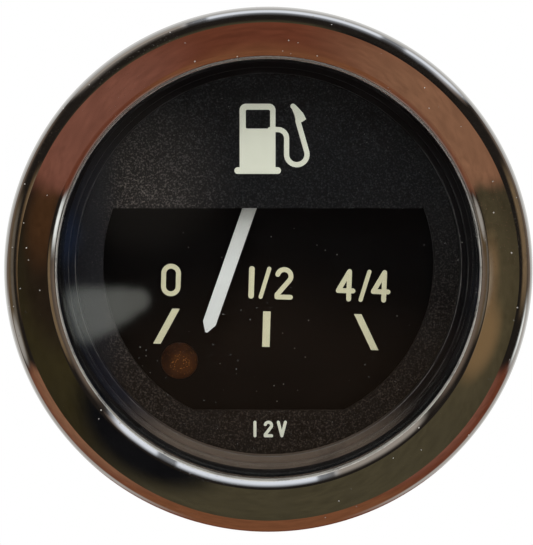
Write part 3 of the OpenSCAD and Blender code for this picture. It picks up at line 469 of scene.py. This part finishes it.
def zinc_case():
    """Zinc plate with yellow passivation: straw and olive clouds with faint pink and green."""
    made, t = material("case_zinc")
    at = t.place()
    clouds = t.noise(at, 60.0, 5.0, 0.6, 0.6)
    tints = t.noise(at, 105.0, 4.0, 0.6, 1.2)
    grain = t.noise(at, 1500.0, 5.0)
    colour = t.mix(clouds, (0.50, 0.43, 0.25), (0.62, 0.57, 0.42))
    colour = t.mix(t.steps(tints, 0.52, 0.72, 0.0, 0.5), colour, (0.58, 0.40, 0.33))
    colour = t.mix(t.steps(tints, 0.42, 0.25, 0.0, 0.5), colour, (0.40, 0.46, 0.30))
    colour = t.mix(t.times(specks(t, at, 420.0, 0.12), 0.6), colour, (0.20, 0.16, 0.10))
    surface(t, {
        "Base Color": colour, "Metallic": 1.0, "Roughness": t.steps(clouds, 0.3, 0.7, 0.24, 0.40),
        "Normal": t.bump(grain, 0.00001, 0.4),
    })
    return made


def moulding(name, dark, light, rough, scale=500.0, fleck=None, coat=0.0, bladed=False):
    """Moulded or pressed insulator, tinned metal past the depth where a lamp plug's blade begins."""
    made, t = material(name)
    at = t.place()
    clouds = t.noise(at, scale, 6.0, 0.6, 0.4)
    fine = t.noise(at, scale * 5.0, 4.0)
    colour = t.mix(clouds, dark, light)
    if fleck:
        colour = t.mix(t.steps(fine, 0.58, 0.72, 0.0, 0.7), colour, fleck)
    metallic = 0.0
    if bladed:
        _, y, _ = t.parts(at)
        metallic = t.steps(y, PLUG_END * MM, BLADE_START * MM)
        colour = t.mix(metallic, colour, t.mix(clouds, (0.60, 0.58, 0.52), (0.74, 0.72, 0.67)))
    surface(t, {
        "Base Color": colour, "Roughness": t.steps(fine, 0.25, 0.75, rough * 0.85, rough * 1.15),
        "Normal": t.bump(fine, 0.00002, 0.4), "Coat Weight": coat, "Metallic": metallic,
    })
    return made


def enamel_wire():
    """Copper wire under a red-brown enamel."""
    made, t = material("enamel_copper")
    at = t.place()
    clouds = t.noise(at, 700.0, 4.0)
    colour = t.mix(clouds, (0.36, 0.085, 0.030), (0.52, 0.150, 0.055))
    surface(t, {
        "Base Color": colour, "Metallic": 0.85, "Roughness": t.steps(clouds, 0.3, 0.7, 0.22, 0.36),
        "Normal": t.bump(clouds, 0.00001, 0.3), "Coat Weight": 0.6, "Coat Roughness": 0.12,
    })
    return made


def resistance_wire():
    """Bare resistance wire, side by side: the turns show as ribs along the card, with painted shade between
    them.
    """
    made, t = material("resistance_wire")
    at = t.place()
    x, _, _ = t.parts(at)
    turn = t.math("SINE", t.times(x, FULL_TURN / (RESISTOR_TURN * MM)))
    # Painted shade in the grooves between the turns.
    colour = t.mix(t.steps(turn, -1.0, 0.6), (0.10, 0.095, 0.085), (0.42, 0.40, 0.36))
    surface(t, {
        "Base Color": colour, "Metallic": 1.0, "Roughness": t.steps(t.noise(at, 900.0), 0.3, 0.7, 0.3, 0.45),
        "Normal": t.bump(turn, 0.00005, 0.6),
    })
    return made


def bulb_glass():
    """Thin blown glass, clearest where it is seen square on."""
    made, t = material("bulb_glass")
    at = t.place()
    clouds = t.noise(at, 300.0, 4.0)
    facing = t.node("ShaderNodeLayerWeight", {"Blend": 0.4}).outputs["Facing"]
    alpha = t.steps(facing, 0.0, 1.0, 0.16, 0.75, False)
    alpha = t.plus(alpha, t.times(clouds, 0.05), True)
    surface(t, {
        "Base Color": t.mix(clouds, (0.78, 0.80, 0.79), (0.86, 0.87, 0.86)), "Roughness": 0.06,
        "Alpha": alpha, "Normal": t.bump(clouds, 0.00003, 0.3),
    })
    return made


def all_materials():
    """One material for each slot of the record."""
    return {
        "chrome_plate": chrome(),
        "clear_glass": glass(),
        "black_rubber": rubber(),
        "ring_black": ring_paint(),
        "mask_crackle": mask_paint(),
        "print_cream": print_ink(),
        "dial_black": dial_paint(),
        "pointer_white": pointer_paint(),
        "amber_lens": amber(),
        "brass": metal("brass", (0.60, 0.42, 0.16), (0.72, 0.53, 0.23), 0.24, 900.0, (0.34, 0.22, 0.09), 0.5),
        "nickel_steel": metal("nickel_steel", (0.50, 0.48, 0.44), (0.62, 0.60, 0.56), 0.22, 1100.0,
                              (0.34, 0.31, 0.27), 0.4),
        "frame_steel": metal("frame_steel", (0.40, 0.40, 0.41), (0.52, 0.52, 0.52), 0.34, 700.0,
                             (0.30, 0.27, 0.23), 0.35, lines=0.8),
        "soft_iron": metal("soft_iron", (0.24, 0.24, 0.25), (0.36, 0.36, 0.37), 0.42, 1200.0,
                           (0.20, 0.14, 0.10), 0.5),
        "bobbin_nylon": moulding("bobbin_nylon", (0.60, 0.58, 0.50), (0.70, 0.68, 0.60), 0.42),
        "enamel_copper": enamel_wire(),
        "pressboard": moulding("pressboard", (0.25, 0.13, 0.055), (0.34, 0.19, 0.085), 0.66, 700.0,
                               (0.42, 0.27, 0.14)),
        "resistance_wire": resistance_wire(),
        "case_zinc": zinc_case(),
        "phenolic": moulding("phenolic", (0.050, 0.022, 0.011), (0.085, 0.038, 0.018), 0.36, 600.0,
                             (0.13, 0.065, 0.03), 0.15, bladed=True),
        "tinned_brass": metal("tinned_brass", (0.60, 0.58, 0.52), (0.74, 0.72, 0.67), 0.26, 1300.0,
                              (0.52, 0.42, 0.26), 0.45, lines=0.85),
        "bulb_glass": bulb_glass(),
        "tube_black": moulding("tube_black", (0.010, 0.010, 0.011), (0.018, 0.018, 0.018), 0.5),
        "bracket_zinc": metal("bracket_zinc", (0.52, 0.53, 0.54), (0.66, 0.67, 0.68), 0.30, 800.0,
                              (0.58, 0.52, 0.36), 0.4, lines=0.5),
    }


# Geometry helpers

# Points closer than this, in metres, become one
MERGE_DISTANCE = 1e-7


def arc(centre, radius, start, end, steps):
    """Points of an arc in the profile plane, angles in degrees."""
    points = []
    for i in range(steps + 1):
        angle = start + (end - start) * i / steps
        points.append((centre[0] + radius * cosine(angle), centre[1] + radius * sine(angle)))
    return points


def new_object(name, vertices, faces, slot_name, body, sharp_deg):
    """A smooth-shaded piece with sharp edges above an angle, in its slot's material, riding on a body."""
    mesh = bpy.data.meshes.new(name)
    mesh.from_pydata(vertices, [], faces)
    mesh.validate()
    work = bmesh.new()
    work.from_mesh(mesh)
    bmesh.ops.remove_doubles(work, verts=work.verts, dist=MERGE_DISTANCE)
    bmesh.ops.recalc_face_normals(work, faces=work.faces)
    work.to_mesh(mesh)
    work.free()
    mesh.polygons.foreach_set("use_smooth", [True] * len(mesh.polygons))
    mesh.set_sharp_from_angle(angle=math.radians(sharp_deg))
    made = bpy.data.objects.new(name, mesh)
    bpy.context.scene.collection.objects.link(made)
    mesh.materials.append(finishes[slot_name])
    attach(made, body)
    return made


def ring(radius_at, along, segments, aside=0.0):
    """Ring of points round the y axis or a line beside it, where radius_at gives the radius at an angle."""
    points = []
    for i in range(segments):
        angle = FULL_TURN * i / segments
        radius = radius_at(angle)
        points.append(Vector((radius * math.cos(angle) + aside, along, radius * math.sin(angle))) * MM)
    return points


def ring_faces(rings, segments, closed):
    """Faces between neighbouring rings of points, and from the last to the first where closed."""
    faces = []
    for row in range(rings if closed else rings - 1):
        below = row * segments
        above = (row + 1) % rings * segments
        for i in range(segments):
            j = (i + 1) % segments
            faces.append((below + i, below + j, above + j, above + i))
    return faces


def lathe_mesh(profile, segments, matrix):
    """Vertices and faces of a closed profile of (radius, along) in mm, turned round the matrix's y axis."""
    vertices = []
    for radius, along in profile:
        vertices += [matrix @ point for point in ring(lambda _: radius, along, segments)]
    return vertices, ring_faces(len(profile), segments, True)


# Bezel: one smooth turned skin from the cut at the crimp, over the rim, down the cone into the lip

def rolled(start, from_tilt, to_tilt, radius, steps):
    """Points of the outer roll from a start, as its normal turns outwards between two tilts in degrees."""
    points = []
    for i in range(1, steps + 1):
        tilt = from_tilt + (to_tilt - from_tilt) * i / steps
        points.append((start[0] + radius * (sine(tilt) - sine(from_tilt)),
                       start[1] + radius * (cosine(from_tilt) - cosine(tilt))))
    return points


def bezel_skin():
    """Outer skin, then the inner one, as one closed profile of (radius, y)."""
    crimp = (BEZEL_R - CRIMP_R, -CRIMP_R)
    crease = (CREASE_R, -BEZEL_H)
    front_radius = (ROLL_BREAK_R - CREASE_R) / (sine(ROLL_BREAK) - sine(ROLL_START))
    side_radius = (BEZEL_R - ROLL_BREAK_R) / (sine(90.0) - sine(ROLL_BREAK))
    front = rolled(crease, ROLL_START, ROLL_BREAK, front_radius, ROLL_STEPS)
    side = rolled(front[-1], ROLL_BREAK, 90.0, side_radius, ROLL_STEPS)
    outer = [(CUT_R, 0.0)]
    outer += arc(crimp, CRIMP_R, 90, 0, ARC_STEPS)
    outer += (front + side)[::-1]
    outer.append(crease)
    tilts = [CONE_TILT_IN] + [tilt for tilt, _ in LIP_BENDS]
    bend_start = LIP_R + LIP_ROUND * (1.0 - sine(tilts[-1]))
    for i, (tilt, radius) in enumerate(LIP_BENDS):
        bend_start += radius * (sine(tilt) - sine(tilts[i]))
    cone_r, cone_y = crease
    width = (cone_r - bend_start) / CONE_STEPS
    for i in range(CONE_STEPS):
        tilt = CONE_TILT_OUT + (CONE_TILT_IN - CONE_TILT_OUT) * (i + 0.5) / CONE_STEPS
        cone_r -= width
        cone_y += width * math.tan(math.radians(tilt))
        outer.append((cone_r, cone_y))
    inner = []
    for i, (tilt, radius) in enumerate(LIP_BENDS):
        centre = (outer[-1][0] + radius * sine(tilts[i]), outer[-1][1] + radius * cosine(tilts[i]))
        outer += arc(centre, radius, 270 - tilts[i], 270 - tilt, ARC_STEPS)[1:]
        inner += arc(centre, radius - SHEET, 270 - tilts[i], 270 - tilt, INNER_BEND_STEPS)
    lip = (LIP_R + LIP_ROUND, outer[-1][1] + LIP_ROUND * cosine(tilts[-1]))
    outer += arc(lip, LIP_ROUND, 270 - tilts[-1], 180, SMALL_ARC_STEPS)[1:]
    outer.append((LIP_R, GLASS_FRONT))
    inner = [(LIP_R + SHEET, GLASS_FRONT), (LIP_R + SHEET, lip[1])] + inner[::-1]
    inner.append((CREASE_R, -BEZEL_H + SHEET * INNER_CREASE))
    inner.append((ROLL_BREAK_R - SHEET * INNER_BREAK_IN, -BEZEL_H + SHEET * INNER_BREAK))
    inner.append((BEZEL_R - SHEET, side[-1][1]))
    inner += arc(crimp, CRIMP_R - SHEET, 0, 90, SMALL_ARC_STEPS)
    inner.append((CUT_R, -SHEET))
    return outer + inner


def make_bezel():
    """Replaces the bezel's plain solid by its turned skin."""
    vertices, faces = lathe_mesh(bezel_skin(), BEZEL_SEGMENTS, Matrix.Identity(4))
    made = new_object("bezel_chrome", vertices, faces, "chrome_plate", "gauge_body", sharp_deg=20.0)
    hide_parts("bezel")


# Studs, in mm: round head inside the case, plain shank and a rolled thread to the end

THREAD_PITCH = 0.7
THREAD_CORE_R = 1.57
THREAD_STEP = THREAD_PITCH / 8.0
STUD_R = 2.0
STUD_SIDE = 15.5
HEAD_R = 3.2
HEAD_FRONT = 17.6
HEAD_BACK = 19.0
HEAD_EDGE = 0.3
THREAD_START = 30.0
STUD_END = 56.5
CHAMFER = 0.5
STUD_SEGMENTS = 36

# Shares of half a pitch: the flat crest, and the flank below it
CREST = 0.12
FLANK = 0.70


def thread_radius(angle, along):
    """Radius of a right-hand thread at an angle and a place along it, with its two run-outs."""
    phase = (along / THREAD_PITCH - angle / FULL_TURN) % 1.0
    slope = abs(2.0 * phase - 1.0)
    depth = min(1.0, max(0.0, (slope - CREST) / FLANK))
    ramp = min(1.0, max(0.0, (along - THREAD_START) / THREAD_PITCH))
    radius = STUD_R - (STUD_R - THREAD_CORE_R) * depth * ramp
    return min(radius, STUD_R - CHAMFER + max(0.0, STUD_END - along))


def stud_mesh(side):
    """Vertices and faces of one stud, from the middle of its head's front to its closed end."""
    plain = [(HEAD_FRONT, 0.0), (HEAD_FRONT, HEAD_R - HEAD_EDGE), (HEAD_FRONT + HEAD_EDGE, HEAD_R),
             (HEAD_BACK, HEAD_R), (HEAD_BACK, STUD_R), (THREAD_START, STUD_R)]
    count = int((STUD_END - THREAD_START) / THREAD_STEP)
    aside = side * STUD_SIDE
    vertices = []
    for along, radius in plain:
        vertices += ring(lambda _: radius, along, STUD_SEGMENTS, aside)
    for i in range(count):
        along = THREAD_START + THREAD_STEP * (i + 1)
        vertices += ring(lambda angle: thread_radius(-angle, along), along, STUD_SEGMENTS, aside)
    faces = ring_faces(len(plain) + count, STUD_SEGMENTS, False)
    faces.append(tuple(range(len(vertices) - STUD_SEGMENTS, len(vertices))))
    return vertices, faces


def make_studs():
    """Replaces both studs' plain solids by threaded ones."""
    vertices, faces = [], []
    for side in (-1, 1):
        more, their_faces = stud_mesh(side)
        first = len(vertices)
        vertices += more
        faces += [tuple(first + i for i in face) for face in their_faces]
    made = new_object("threaded_studs", vertices, faces, "nickel_steel", "gauge_body", sharp_deg=50.0)
    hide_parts("mounting_studs")


# Coils, in mm and degrees: the outer layer of wire shows turn by turn

WIRE_D = 0.22
WIRE_ARC = (18, 54, 90, 126, 162)
DIAL_TURN = 1.73
PIVOT_RISE = 14.3
COIL_Y = 14.0
COIL_LEAN = 45.0
COIL_SEGMENTS = 96


def turned(x, z):
    """A point of the dial's drawing after the dial is turned in the case."""
    turn_cos, turn_sin = cosine(DIAL_TURN), sine(DIAL_TURN)
    return x * turn_cos + z * turn_sin, z * turn_cos - x * turn_sin


def coil_frame(side):
    """Matrix whose y axis runs along a coil, away from the pivot."""
    px, pz = turned(0.0, PIVOT_RISE)
    dx, dz = turned(side * sine(COIL_LEAN), -cosine(COIL_LEAN))
    along = Vector((dx, 0.0, dz)).normalized()
    across = Vector((0.0, 1.0, 0.0))
    third = across.cross(along)
    matrix = Matrix((across, along, -third)).transposed().to_4x4()
    matrix.translation = Vector((px, COIL_Y, pz)) * MM
    return matrix


def span_along(node, matrix):
    """Where a node starts and ends along the matrix's y axis, and its inner and outer radius, in mm."""
    back = matrix.inverted()
    places = [back @ v.co for v in nodes[node].data.vertices]
    along = [p.y / MM for p in places]
    radii = [math.hypot(p.x, p.z) for p in places]
    return min(along), max(along), min(radii) / MM, max(radii) / MM


def make_winding(node, side):
    """Replaces a winding's plain solid by one with a rounded ridge for each turn."""
    matrix = coil_frame(side)
    start, end, inner, outer = span_along(node, matrix)
    turns = max(1, round((end - start) / WIRE_D))
    pitch = (end - start) / turns
    half = pitch / 2.0
    profile = [(inner, start)]
    for turn in range(turns):
        centre = start + (turn + 0.5) * pitch
        profile += [(outer - half + half * sine(angle), centre - half * cosine(angle)) for angle in WIRE_ARC]
    profile.append((inner, end))
    vertices, faces = lathe_mesh(profile, COIL_SEGMENTS, matrix)
    made = new_object(node + "_turns", vertices, faces, "enamel_copper", "gauge_body", sharp_deg=80.0)
    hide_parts(node)


# Stage, light and camera

WHITE = (1.0, 1.0, 1.0)

# Floor, in metres: its height, half its side, and the radii between which it fades into the white backdrop
FLOOR_Z = -0.075
FLOOR_HALF = 1.5
FLOOR_NEAR = 0.05
FLOOR_FAR = 0.12

# Lamps: name, place and size in metres, power in watts, and the point on the case axis that they aim at
LAMPS = [
    ("key", (-0.35, -0.45, 0.55), 0.30, 3.2),
    ("fill", (0.55, -0.30, 0.15), 0.50, 1.2),
    ("rear", (0.20, 0.60, 0.40), 0.50, 3.5),
]
LAMP_AIM = (0.0, 0.02, 0.0)


def heading(azimuth, elevation):
    """Direction from an azimuth off the front, positive to the right, and an elevation, in degrees."""
    level = cosine(elevation)
    return (sine(azimuth) * level, -cosine(azimuth) * level, sine(elevation))


# What polished surfaces mirror, as soft round patches: the room, the table before it, and small bright glows.
# Each has azimuth, elevation, inner and outer half angle in degrees, and colour
ROOM = [
    (-72, 8, 22, 60, (0.105, 0.084, 0.044)),
    (-12, 42, 22, 46, (0.088, 0.074, 0.041)),
    (58, 14, 14, 40, (0.046, 0.036, 0.014)),
    (58, -8, 8, 24, (0.026, 0.017, 0.010)),
    (44, 38, 14, 25, (0.006, 0.006, 0.007)),
    (50, -20, 3, 15, (0.080, 0.036, 0.015)),
    (0, 4, 12, 30, (0.012, 0.011, 0.011)),
]
TABLE = [
    (-46, -34, 6, 34, (0.330, 0.160, 0.090)),
    (44, -36, 6, 26, (0.270, 0.105, 0.070)),
    (0, -8, 8, 20, (0.070, 0.044, 0.028)),
    (0, -90, 24, 38, (0.260, 0.100, 0.045)),
]
GLOWS = [
    (-4.4, -3.4, 0.3, 3.4, (0.085, 0.075, 0.064)),
    (-8.0, -5.6, 0.3, 1.5, (0.05, 0.09, 0.20)),
    (-6.77, -8.45, 0.50, 1.25, (1.00, 1.02, 0.93)),
    (-6.05, -8.30, 0.40, 1.05, (1.00, 1.01, 0.92)),
    (-5.35, -8.10, 0.30, 0.80, (1.00, 1.00, 0.90)),
    (-4.75, -7.95, 0.15, 0.55, (0.95, 0.94, 0.84)),
    (-50, 7, 0.5, 11, (0.27, 0.170, 0.080)),
    (67, 39, 3, 7, (0.19, 0.145, 0.115)),
    (-76, -21, 2, 7, (0.46, 0.43, 0.39)),
]

# Soft upright bands in the room: azimuth, inner and outer half width, lowest and highest elevation, colour
STREAKS = [
    (-56, 4, 9, -12, 12, (0.22, 0.14, 0.07)),
    (-56, 1.5, 5, -8, 11, (0.34, 0.27, 0.19)),
    (84, 5, 9, -25, -15, (1.30, 1.34, 1.30)),
    (-80, 6, 14, -22, 8, (0.125, 0.080, 0.035)),
    (-71, 1, 4, -22, 6, (0.16, 0.135, 0.105)),
    (71, 2, 6, -12, 14, (0.24, 0.165, 0.090)),
]

# Degrees over which a band fades in outside its ends, and on inside them
FADE_OUT = 6
FADE_IN = 3

# Dark bars across the ceiling light: place and half width, as x over height
BARS = [(0.62, 0.06), (-0.32, 0.04)]


def dot(t, direction, other):
    """Cosine of the angle between two directions."""
    made = t.node("ShaderNodeVectorMath", {0: direction, 1: other}, operation="DOT_PRODUCT")
    return made.outputs["Value"]


def spot(t, direction, colour, azimuth, elevation, inner, outer, tint):
    """Lays a soft round patch over a colour, where the direction points to it."""
    near = dot(t, direction, heading(azimuth, elevation))
    return t.mix(t.steps(near, cosine(outer), cosine(inner)), colour, tint)


def streak(t, direction, colour, azimuth, inner, outer, low, high, tint):
    """Lays a soft upright band over a colour, between two elevations."""
    x, y, z = t.parts(direction)
    off = t.absolute(dot(t, direction, (cosine(azimuth), sine(azimuth), 0.0)))
    band = t.steps(off, sine(outer), sine(inner))
    foot = t.steps(z, sine(low - FADE_OUT), sine(low + FADE_IN))
    top = t.steps(z, sine(high + FADE_OUT), sine(high - FADE_IN))
    front = t.steps(y, 0.0, -0.1)
    facing = t.steps(x, 0.0, 0.1 if azimuth > 0 else -0.1)
    return t.mix(t.times(band, foot, top, front, facing), colour, tint)


def overhead(t, direction, colour):
    """A pale ceiling light above and a little behind, with two dark bars across it."""
    x, y, z = t.parts(direction)
    share = t.times(t.steps(y, -0.42, -0.22), t.steps(z, 0.56, 0.66))
    slope = t.math("DIVIDE", x, t.math("MAXIMUM", z, 0.05))
    for bar, half in BARS:
        share = t.times(share, t.steps(t.absolute(t.minus(slope, bar)), half, half * 1.6, 0.25, 1.0))
    tint = t.mix(t.steps(slope, -0.30, -0.42), (1.10, 1.16, 1.26), (0.45, 0.40, 0.35))
    return t.mix(share, colour, tint)


def room_and_table(t, direction):
    """What stands before the gauge: a dim brown room over a red-brown table, both faintly streaked."""
    x, y, z = t.parts(direction)
    room = (0.013, 0.011, 0.009)
    for patch in ROOM:
        room = spot(t, direction, room, *patch)
    room = t.mix(t.steps(y, -0.60, -0.50), room, (0.020, 0.016, 0.013))
    for band in STREAKS:
        room = streak(t, direction, room, *band)
    table = (0.190, 0.057, 0.030)
    for patch in TABLE:
        table = spot(t, direction, table, *patch)
    wobble = t.minus(t.noise(direction, 4.0, 3.0), 0.5)
    height = t.plus(t.plus(z, t.times(wobble, 0.10)), t.times(t.absolute(x), 0.40))
    mirrored = t.mix(t.steps(height, -0.09, -0.16), room, table)
    grain = t.noise(t.stretch(direction, (3.0, 3.0, 8.0)), 5.0, 5.0, 0.6, 0.6)
    grain = t.steps(grain, 0.30, 0.70, 0.78, 1.20, False)
    return t.mix(1.0, mirrored, t.join(grain, grain, grain), "MULTIPLY")


def surroundings(t, direction):
    """All that polished surfaces mirror: room and table, glows, ceiling light and the pale wall behind."""
    x, y, z = t.parts(direction)
    aside = t.absolute(x)
    mirrored = room_and_table(t, direction)
    ground = t.times(t.steps(y, -0.15, 0.08), t.steps(aside, 0.22, 0.55), t.steps(z, -0.02, -0.20))
    mirrored = t.mix(ground, mirrored, (0.60, 0.57, 0.53))
    for patch in GLOWS:
        mirrored = spot(t, direction, mirrored, *patch)
    side = t.times(t.steps(y, -0.34, -0.10), t.steps(z, 0.60, 0.40), t.steps(z, -0.30, -0.10))
    mirrored = t.mix(side, mirrored, (0.20, 0.150, 0.115))
    mirrored = overhead(t, direction, mirrored)
    below = t.times(t.math("MAXIMUM", t.times(z, -1.0), 0.0), t.steps(aside, 0.18, 0.45, 2.4, 0.8))
    behind = t.steps(t.minus(y, below), 0.0, 0.20)
    wall = t.mix(t.steps(y, 0.25, 0.75), (0.62, 0.61, 0.59), (0.92, 0.92, 0.90))
    return t.mix(behind, mirrored, wall)


def make_world():
    """Plain light for diffuse surfaces, the room for polished ones, and white for the camera."""
    world = bpy.data.worlds.new("studio")
    bpy.context.scene.world = world
    world.use_nodes = True
    t = Tree(world.node_tree)
    direction = t.node("ShaderNodeTexCoord").outputs["Generated"]
    path = t.node("ShaderNodeLightPath")
    seen = t.math("MAXIMUM", path.outputs["Is Camera Ray"], path.outputs["Is Transmission Ray"])
    light = t.mix(path.outputs["Is Glossy Ray"], (0.72, 0.72, 0.72), surroundings(t, direction))
    light = t.mix(seen, light, WHITE)
    back = t.node("ShaderNodeBackground", {"Color": light, "Strength": 1.0})
    t.node("ShaderNodeOutputWorld", {"Surface": back.outputs[0]})


def make_floor():
    """Pale floor that keeps the gauge's shadow and turns white for the camera farther off."""
    made, t = material("floor_pale")
    at = t.place()
    grain = t.noise(at, 60.0, 4.0)
    shader = t.node("ShaderNodeBsdfPrincipled", {
        "Base Color": t.mix(grain, (0.80, 0.80, 0.79), (0.84, 0.84, 0.83)), "Roughness": 0.8,
    })
    glow = t.node("ShaderNodeEmission", {"Color": WHITE, "Strength": 1.0})
    path = t.node("ShaderNodeLightPath")
    x, y, _ = t.parts(at)
    far = t.steps(t.reach(x, y), FLOOR_NEAR, FLOOR_FAR)
    share = t.times(path.outputs["Is Camera Ray"], far)
    both = t.node("ShaderNodeMixShader", {0: share, 1: shader.outputs[0], 2: glow.outputs[0]})
    t.node("ShaderNodeOutputMaterial", {"Surface": both.outputs[0]})
    corners = [(i * FLOOR_HALF, j * FLOOR_HALF, FLOOR_Z) for i, j in ((-1, -1), (1, -1), (1, 1), (-1, 1))]
    mesh = bpy.data.meshes.new("floor")
    mesh.from_pydata(corners, [], [(0, 1, 2, 3)])
    mesh.materials.append(made)
    floor = bpy.data.objects.new("floor", mesh)
    bpy.context.scene.collection.objects.link(floor)
    floor.visible_glossy = False


def make_lamp(name, place, size, power):
    """Round soft lamp that polished surfaces don't mirror."""
    data = bpy.data.lights.new(name, "AREA")
    data.shape = "DISK"
    data.size = size
    data.energy = power
    lamp = bpy.data.objects.new(name, data)
    lamp.location = place
    aim = Vector(LAMP_AIM) - Vector(place)
    lamp.rotation_euler = aim.to_track_quat("-Z", "Y").to_euler()
    bpy.context.scene.collection.objects.link(lamp)
    lamp.visible_glossy = False


# Camera: place in metres, dip in degrees, focal length and shift in the photograph's pixels, sensor in mm

CAMERA_PLACE = Vector((0.0, -0.18266, 0.02194))
CAMERA_DIP = 5.0
FOCAL_PX = 1586.7
PHOTO_W = 533.0
SENSOR = 36.0
SHIFT_PX = (-1.9, -54.8)
CLIP_START = 0.01


def make_camera():
    """Camera at the photograph's viewing angle."""
    data = bpy.data.cameras.new("camera")
    data.sensor_fit = "HORIZONTAL"
    data.sensor_width = SENSOR
    data.lens = FOCAL_PX / PHOTO_W * SENSOR
    data.shift_x = SHIFT_PX[0] / PHOTO_W
    data.shift_y = SHIFT_PX[1] / PHOTO_W
    data.clip_start = CLIP_START
    camera = bpy.data.objects.new("camera", data)
    camera.location = CAMERA_PLACE
    camera.rotation_euler = (math.radians(90.0 - CAMERA_DIP), 0.0, 0.0)
    bpy.context.scene.collection.objects.link(camera)
    bpy.context.scene.camera = camera


# Dress the frame, then set the stage

finishes = all_materials()
for node_name, node_object in nodes.items():
    node_object.data.materials.clear()
    node_object.data.materials.append(finishes[slot_of[node_name]])

make_bezel()
make_studs()
make_winding("left_winding", -1)
make_winding("right_winding", 1)

make_world()
make_floor()
for lamp_values in LAMPS:
    make_lamp(*lamp_values)
make_camera()

bpy.context.scene.view_settings.view_transform = "Standard"
